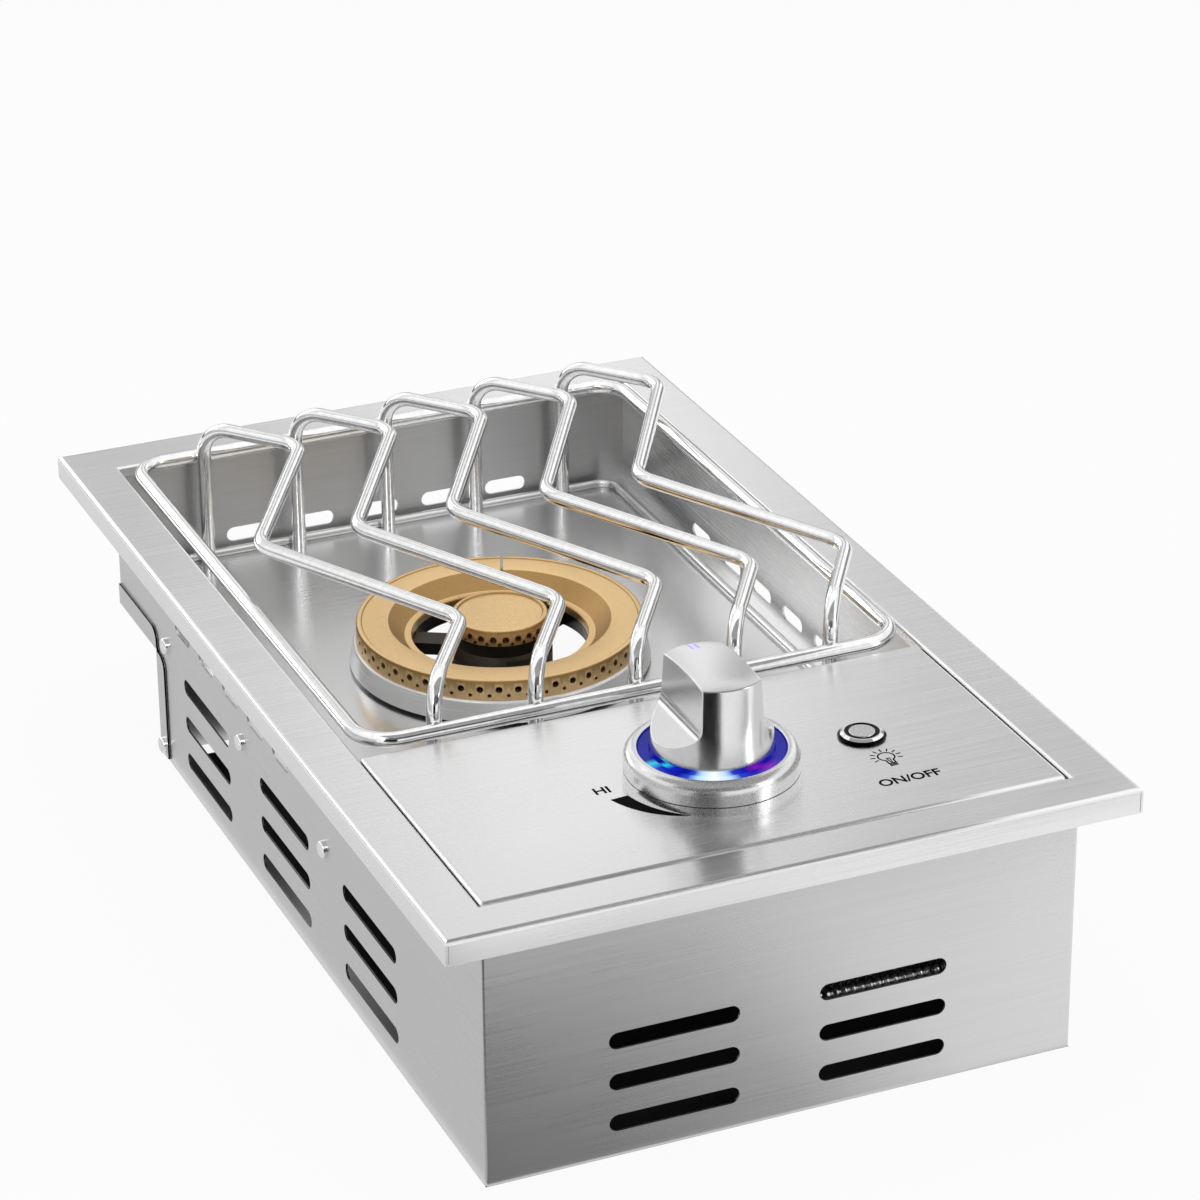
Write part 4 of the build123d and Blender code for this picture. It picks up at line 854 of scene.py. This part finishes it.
class SIDEBURNER_OT_stage(bpy.types.Operator):
    """Set the floor, world, lamps, reflection cards and camera"""

    bl_idname = "sideburner.stage"
    bl_label = "Stage"

    def execute(self, context):
        self.floor()
        self.table()
        self.world(context.scene)
        self.lamps()
        self.cards()
        self.camera(context.scene)
        context.scene.view_settings.view_transform = "Standard"
        return {"FINISHED"}

    def seen(self, tree):
        """1 for rays that show the background: from the camera, mirrored or passed through."""
        path = add(tree, "ShaderNodeLightPath").outputs
        both = add(tree, "ShaderNodeMath", {"operation": "MAXIMUM"}, {
            0: path["Is Camera Ray"], 1: path["Is Glossy Ray"],
        })
        return add(tree, "ShaderNodeMath", {"operation": "MAXIMUM"}, {
            0: both.outputs[0], 1: path["Is Transmission Ray"],
        }).outputs[0]

    def bare_material(self, name):
        """A material without a shader; returns it with its tree and its output."""
        material = bpy.data.materials.new(name)
        material.use_nodes = True
        tree = material.node_tree
        tree.nodes.remove(tree.nodes["Principled BSDF"])
        return material, tree, tree.nodes["Material Output"]

    def sheet(self, name, place, wide, tall, material):
        """Links a flat sheet of a width and a height, moved and turned by a matrix."""
        shape = bmesh.new()
        bmesh.ops.create_grid(
            shape, x_segments=1, y_segments=1, size=0.5, matrix=place @ Matrix.Diagonal((wide, tall, 1, 1))
        )
        mesh = mesh_of(shape)
        mesh.materials.append(material)
        piece = bpy.data.objects.new(name, mesh)
        bpy.context.scene.collection.objects.link(piece)
        return piece

    def floor(self):
        """White paper that shows almost as bright as the background, with a trace of shadow."""
        width = 12.0
        lit_share = 0.92
        below = CAD_BOX[0].z - 0.2 * MM
        material, tree, output = self.bare_material("white_paper_floor")
        paper = add(tree, "ShaderNodeBsdfDiffuse", None, {"Color": linear("#f4f4f4")})
        lit = add(tree, "ShaderNodeEmission", None, {"Color": (1, 1, 1, 1), "Strength": 1.0})
        share = add(tree, "ShaderNodeMath", {"operation": "MULTIPLY"}, {0: self.seen(tree), 1: lit_share})
        blend = add(tree, "ShaderNodeMixShader", None, {
            0: share.outputs[0], 1: paper.outputs[0], 2: lit.outputs[0],
        })
        feed(output, {"Surface": blend.outputs[0]})
        floor = self.sheet("floor", at(0, 0, below), width, width, material)

    def table(self):
        """A dark sheet inside the footprint, as painted shade, so that the box is dark behind its slots."""
        low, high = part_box("body_wrap")
        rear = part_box("rear_panel")[0].y
        place = at((low.x + high.x) / 2, (low.y + rear) / 2, low.z - 0.1 * MM)
        # Painted shade: this dark grey stands for the shadow inside the box, where the floor would show
        # white.
        material = dull_solid("painted_shade_under_box", "#202020", 0.9, 1.0 * MM)
        shade_sheet = self.sheet("painted_shade_sheet", place, high.x - low.x, rear - low.y, material)

    def world(self, scene):
        """White all round, which casts less light than it shows."""
        cast = 0.55
        shown = 1.0
        world = bpy.data.worlds.new("white_studio")
        world.use_nodes = True
        tree = world.node_tree
        level = add(tree, "ShaderNodeMapRange", None, {0: self.seen(tree), 3: cast, 4: shown})
        feed(tree.nodes["Background"], {"Color": (1, 1, 1, 1), "Strength": level.outputs[0]})
        scene.world = world

    def lamps(self):
        """Soft lamps that point at the object, of which only the strip is mirrored."""
        target = Vector((0, 0, 0.1))
        for name, place, size, power in (
            ("overhead_softbox", (0.1, 0.3, 2.2), (1.4, 1.4), 12.0),
            ("left_fill", (-2.2, -0.4, 1.3), (1.0, 1.0), 5.0),
            ("right_strip", (1.5, -1.6, 0.9), (0.35, 1.3), 4.0),
        ):
            lamp = bpy.data.lights.new(name, "AREA")
            lamp.shape = "RECTANGLE"
            lamp.size, lamp.size_y = size
            lamp.energy = power
            holder = bpy.data.objects.new(name, lamp)
            holder.location = place
            holder.rotation_euler = (target - Vector(place)).to_track_quat("-Z", "Y").to_euler()
            holder.visible_camera = False
            holder.visible_glossy = name == "right_strip"
            bpy.context.scene.collection.objects.link(holder)

    def cards(self):
        """Grey cards and flags that only mirrored rays meet, as round a product on a shooting table."""
        turn = bpy.context.scene.burner_camera.turn
        towards = at(KNOB_AT.x, KNOB_AT.y, 0) @ Matrix.Rotation(-turn, 4, "Z")
        upright = Matrix.Rotation(math.pi / 2, 4, "X")
        sideways = Matrix.Rotation(math.pi / 2, 4, "Z") @ upright
        # A row holds a name, a place, a width and a height, and stops of a place along X and a level.
        for name, place, wide, tall, stops in (
            ("rear_card", at(1.0, 3.0, 1.7) @ upright, 6.4, 3.2,
             ((-0.9, 2.4), (-0.4, 1.2), (0.4, 1.15), (0.56, 0.6), (0.66, 0.55), (0.83, 0.68), (1.03, 0.9),
              (1.2, 1.05), (1.4, 1.05), (1.65, 0.75), (1.8, 0.6), (2.1, 0.48), (2.25, 0.5), (2.4, 1.15),
              (3.9, 1.2))),
            ("rear_flag", at(0.8, 2.95, 0.22) @ upright, 7.0, 0.44, ((0.0, 0.03),)),
            ("top_card", at(0.0, -0.6, 2.0), 4.0, 3.2, ((0.0, 1.15),)),
            ("panel_hood", at(0.0, -0.22, 0.3), 0.34, 0.24, ((0.0, 0.35),)),
            ("left_card", at(-2.4, 0.4, 0.5) @ sideways, 5.0, 1.0, ((0.0, 0.55),)),
            ("right_card", at(3.0, 0.2, 0.5) @ sideways, 5.0, 1.0, ((0.0, 0.30),)),
            ("camera_flag", towards @ at(-0.064, -0.42, 0.21) @ upright, 0.27, 0.42, ((0.0, 0.0),)),
            ("panel_flag", towards @ at(0.03, -0.12, 0.255) @ upright, 0.34, 0.11, ((0.0, 0.1),)),
            ("bezel_flag", towards @ at(-0.02, -0.2, 0.29) @ upright, 0.3, 0.14, ((0.0, 0.05),)),
            ("knob_flag", at(-0.262, -0.655, 0.0005), 0.375, 0.33, ((0.0, 0.0),)),
            ("well_card", at(-0.36, -0.8, 0.7) @ upright, 0.6, 0.4, ((0.0, 7.0),)),
            ("knob_card", at(-0.216, 0.307, 0.437) @ upright, 0.3, 0.3, ((0.0, 0.85),)),
            ("well_flag", at(1.15, -2.2, 1.3) @ upright, 1.6, 1.2, ((0.0, 0.9),)),
            ("side_card", at(-0.23, 0.15, 0.0005), 0.18, 0.9,
             ((-0.31, 0.86), (-0.25, 0.82), (-0.235, 0.72), (-0.14, 0.72))),
            ("skirt_card", at(0.137, -0.5225, 0.0006), 0.425, 0.075,
             ((-0.06, 2.3), (-0.033, 2.2), (0.038, 1.6), (0.114, 0.55), (0.222, 0.05))),
            ("floor_card", at(0.05, -0.368, 0.0005), 0.8, 0.242,
             ((-0.14, 0.20), (-0.083, 0.28), (-0.036, 0.38), (0.01, 0.51), (0.047, 0.77), (0.094, 1.05),
              (0.177, 1.16), (0.224, 1.26))),
        ):
            card = self.sheet(name, place, wide, tall, self.card_paper(name + "_paper", stops))
            card.visible_camera = False
            card.visible_diffuse = False
            card.visible_shadow = False
            card.visible_transmission = False

    def card_paper(self, name, stops):
        """Paper that mirrors as the given levels of grey along X, in metres."""
        material, tree, output = self.bare_material(name)
        black = 0.001
        top = max(black, *[level for _, level in stops])
        first = stops[0][0]
        last = stops[-1][0] + MM
        coords = add(tree, "ShaderNodeTexCoord").outputs["Object"]
        parts = add(tree, "ShaderNodeSeparateXYZ", None, {0: coords})
        share = add(tree, "ShaderNodeMapRange", None, {0: parts.outputs[0], 1: first, 2: last})
        ramp = add(tree, "ShaderNodeValToRGB", None, {0: share.outputs[0]}, [
            ((place - first) / (last - first), [level / top] * 3 + [1.0]) for place, level in stops
        ])
        glow = add(tree, "ShaderNodeEmission", None, {"Color": ramp.outputs[0], "Strength": top})
        feed(output, {"Surface": glow.outputs[0]})
        return material

    def camera(self, scene):
        """The camera, at its place and turned as its settings say."""
        view = scene.burner_camera
        level = math.cos(view.tilt)
        forward = Vector((math.sin(view.turn) * level, math.cos(view.turn) * level, -math.sin(view.tilt)))
        right = forward.cross((0, 0, 1)).normalized()
        turn = Matrix((right, right.cross(forward), -forward)).transposed()
        turn = turn @ Matrix.Rotation(view.roll, 3, "Z")
        data = bpy.data.cameras.new("photo_camera")
        data.lens = view.lens
        camera = bpy.data.objects.new("photo_camera", data)
        camera.matrix_world = Matrix.LocRotScale(Vector(view.place), turn, None)
        bpy.context.scene.collection.objects.link(camera)
        scene.camera = camera


SETTINGS = {
    "burner_sizes": BurnerSettings,
    "burner_marks": MarkSettings,
    "burner_finish": FinishSettings,
    "burner_camera": CameraSettings,
}

PIECES = (
    SIDEBURNER_OT_sheet_metal, SIDEBURNER_OT_grate, SIDEBURNER_OT_burner, SIDEBURNER_OT_gas_line,
    SIDEBURNER_OT_knob, SIDEBURNER_OT_button, SIDEBURNER_OT_marks, SIDEBURNER_OT_stage,
)


class SIDEBURNER_PT_panel(bpy.types.Panel):
    """Lists the side burner's pieces and settings"""

    bl_idname = "SIDEBURNER_PT_panel"
    bl_label = "Side burner"
    bl_space_type = "VIEW_3D"
    bl_region_type = "UI"
    bl_category = "Side burner"

    def draw(self, context):
        for piece in PIECES:
            self.layout.operator(piece.bl_idname)
        for group in SETTINGS:
            settings = getattr(context.scene, group)
            for name in settings.bl_rna.properties.keys():
                if name not in ("rna_type", "name"):
                    self.layout.prop(settings, name)


def register():
    for item in (*SETTINGS.values(), *PIECES, SIDEBURNER_PT_panel):
        bpy.utils.register_class(item)
    for name, group in SETTINGS.items():
        setattr(bpy.types.Scene, name, PointerProperty(type=group))


def unregister():
    for name in SETTINGS:
        delattr(bpy.types.Scene, name)
    for item in (SIDEBURNER_PT_panel, *reversed(PIECES), *SETTINGS.values()):
        bpy.utils.unregister_class(item)


def main():
    register()
    bpy.ops.sideburner.sheet_metal()
    bpy.ops.sideburner.grate()
    bpy.ops.sideburner.burner()
    bpy.ops.sideburner.gas_line()
    bpy.ops.sideburner.knob()
    bpy.ops.sideburner.button()
    bpy.ops.sideburner.marks()
    bpy.ops.sideburner.stage()


if __name__ == "__main__":
    main()
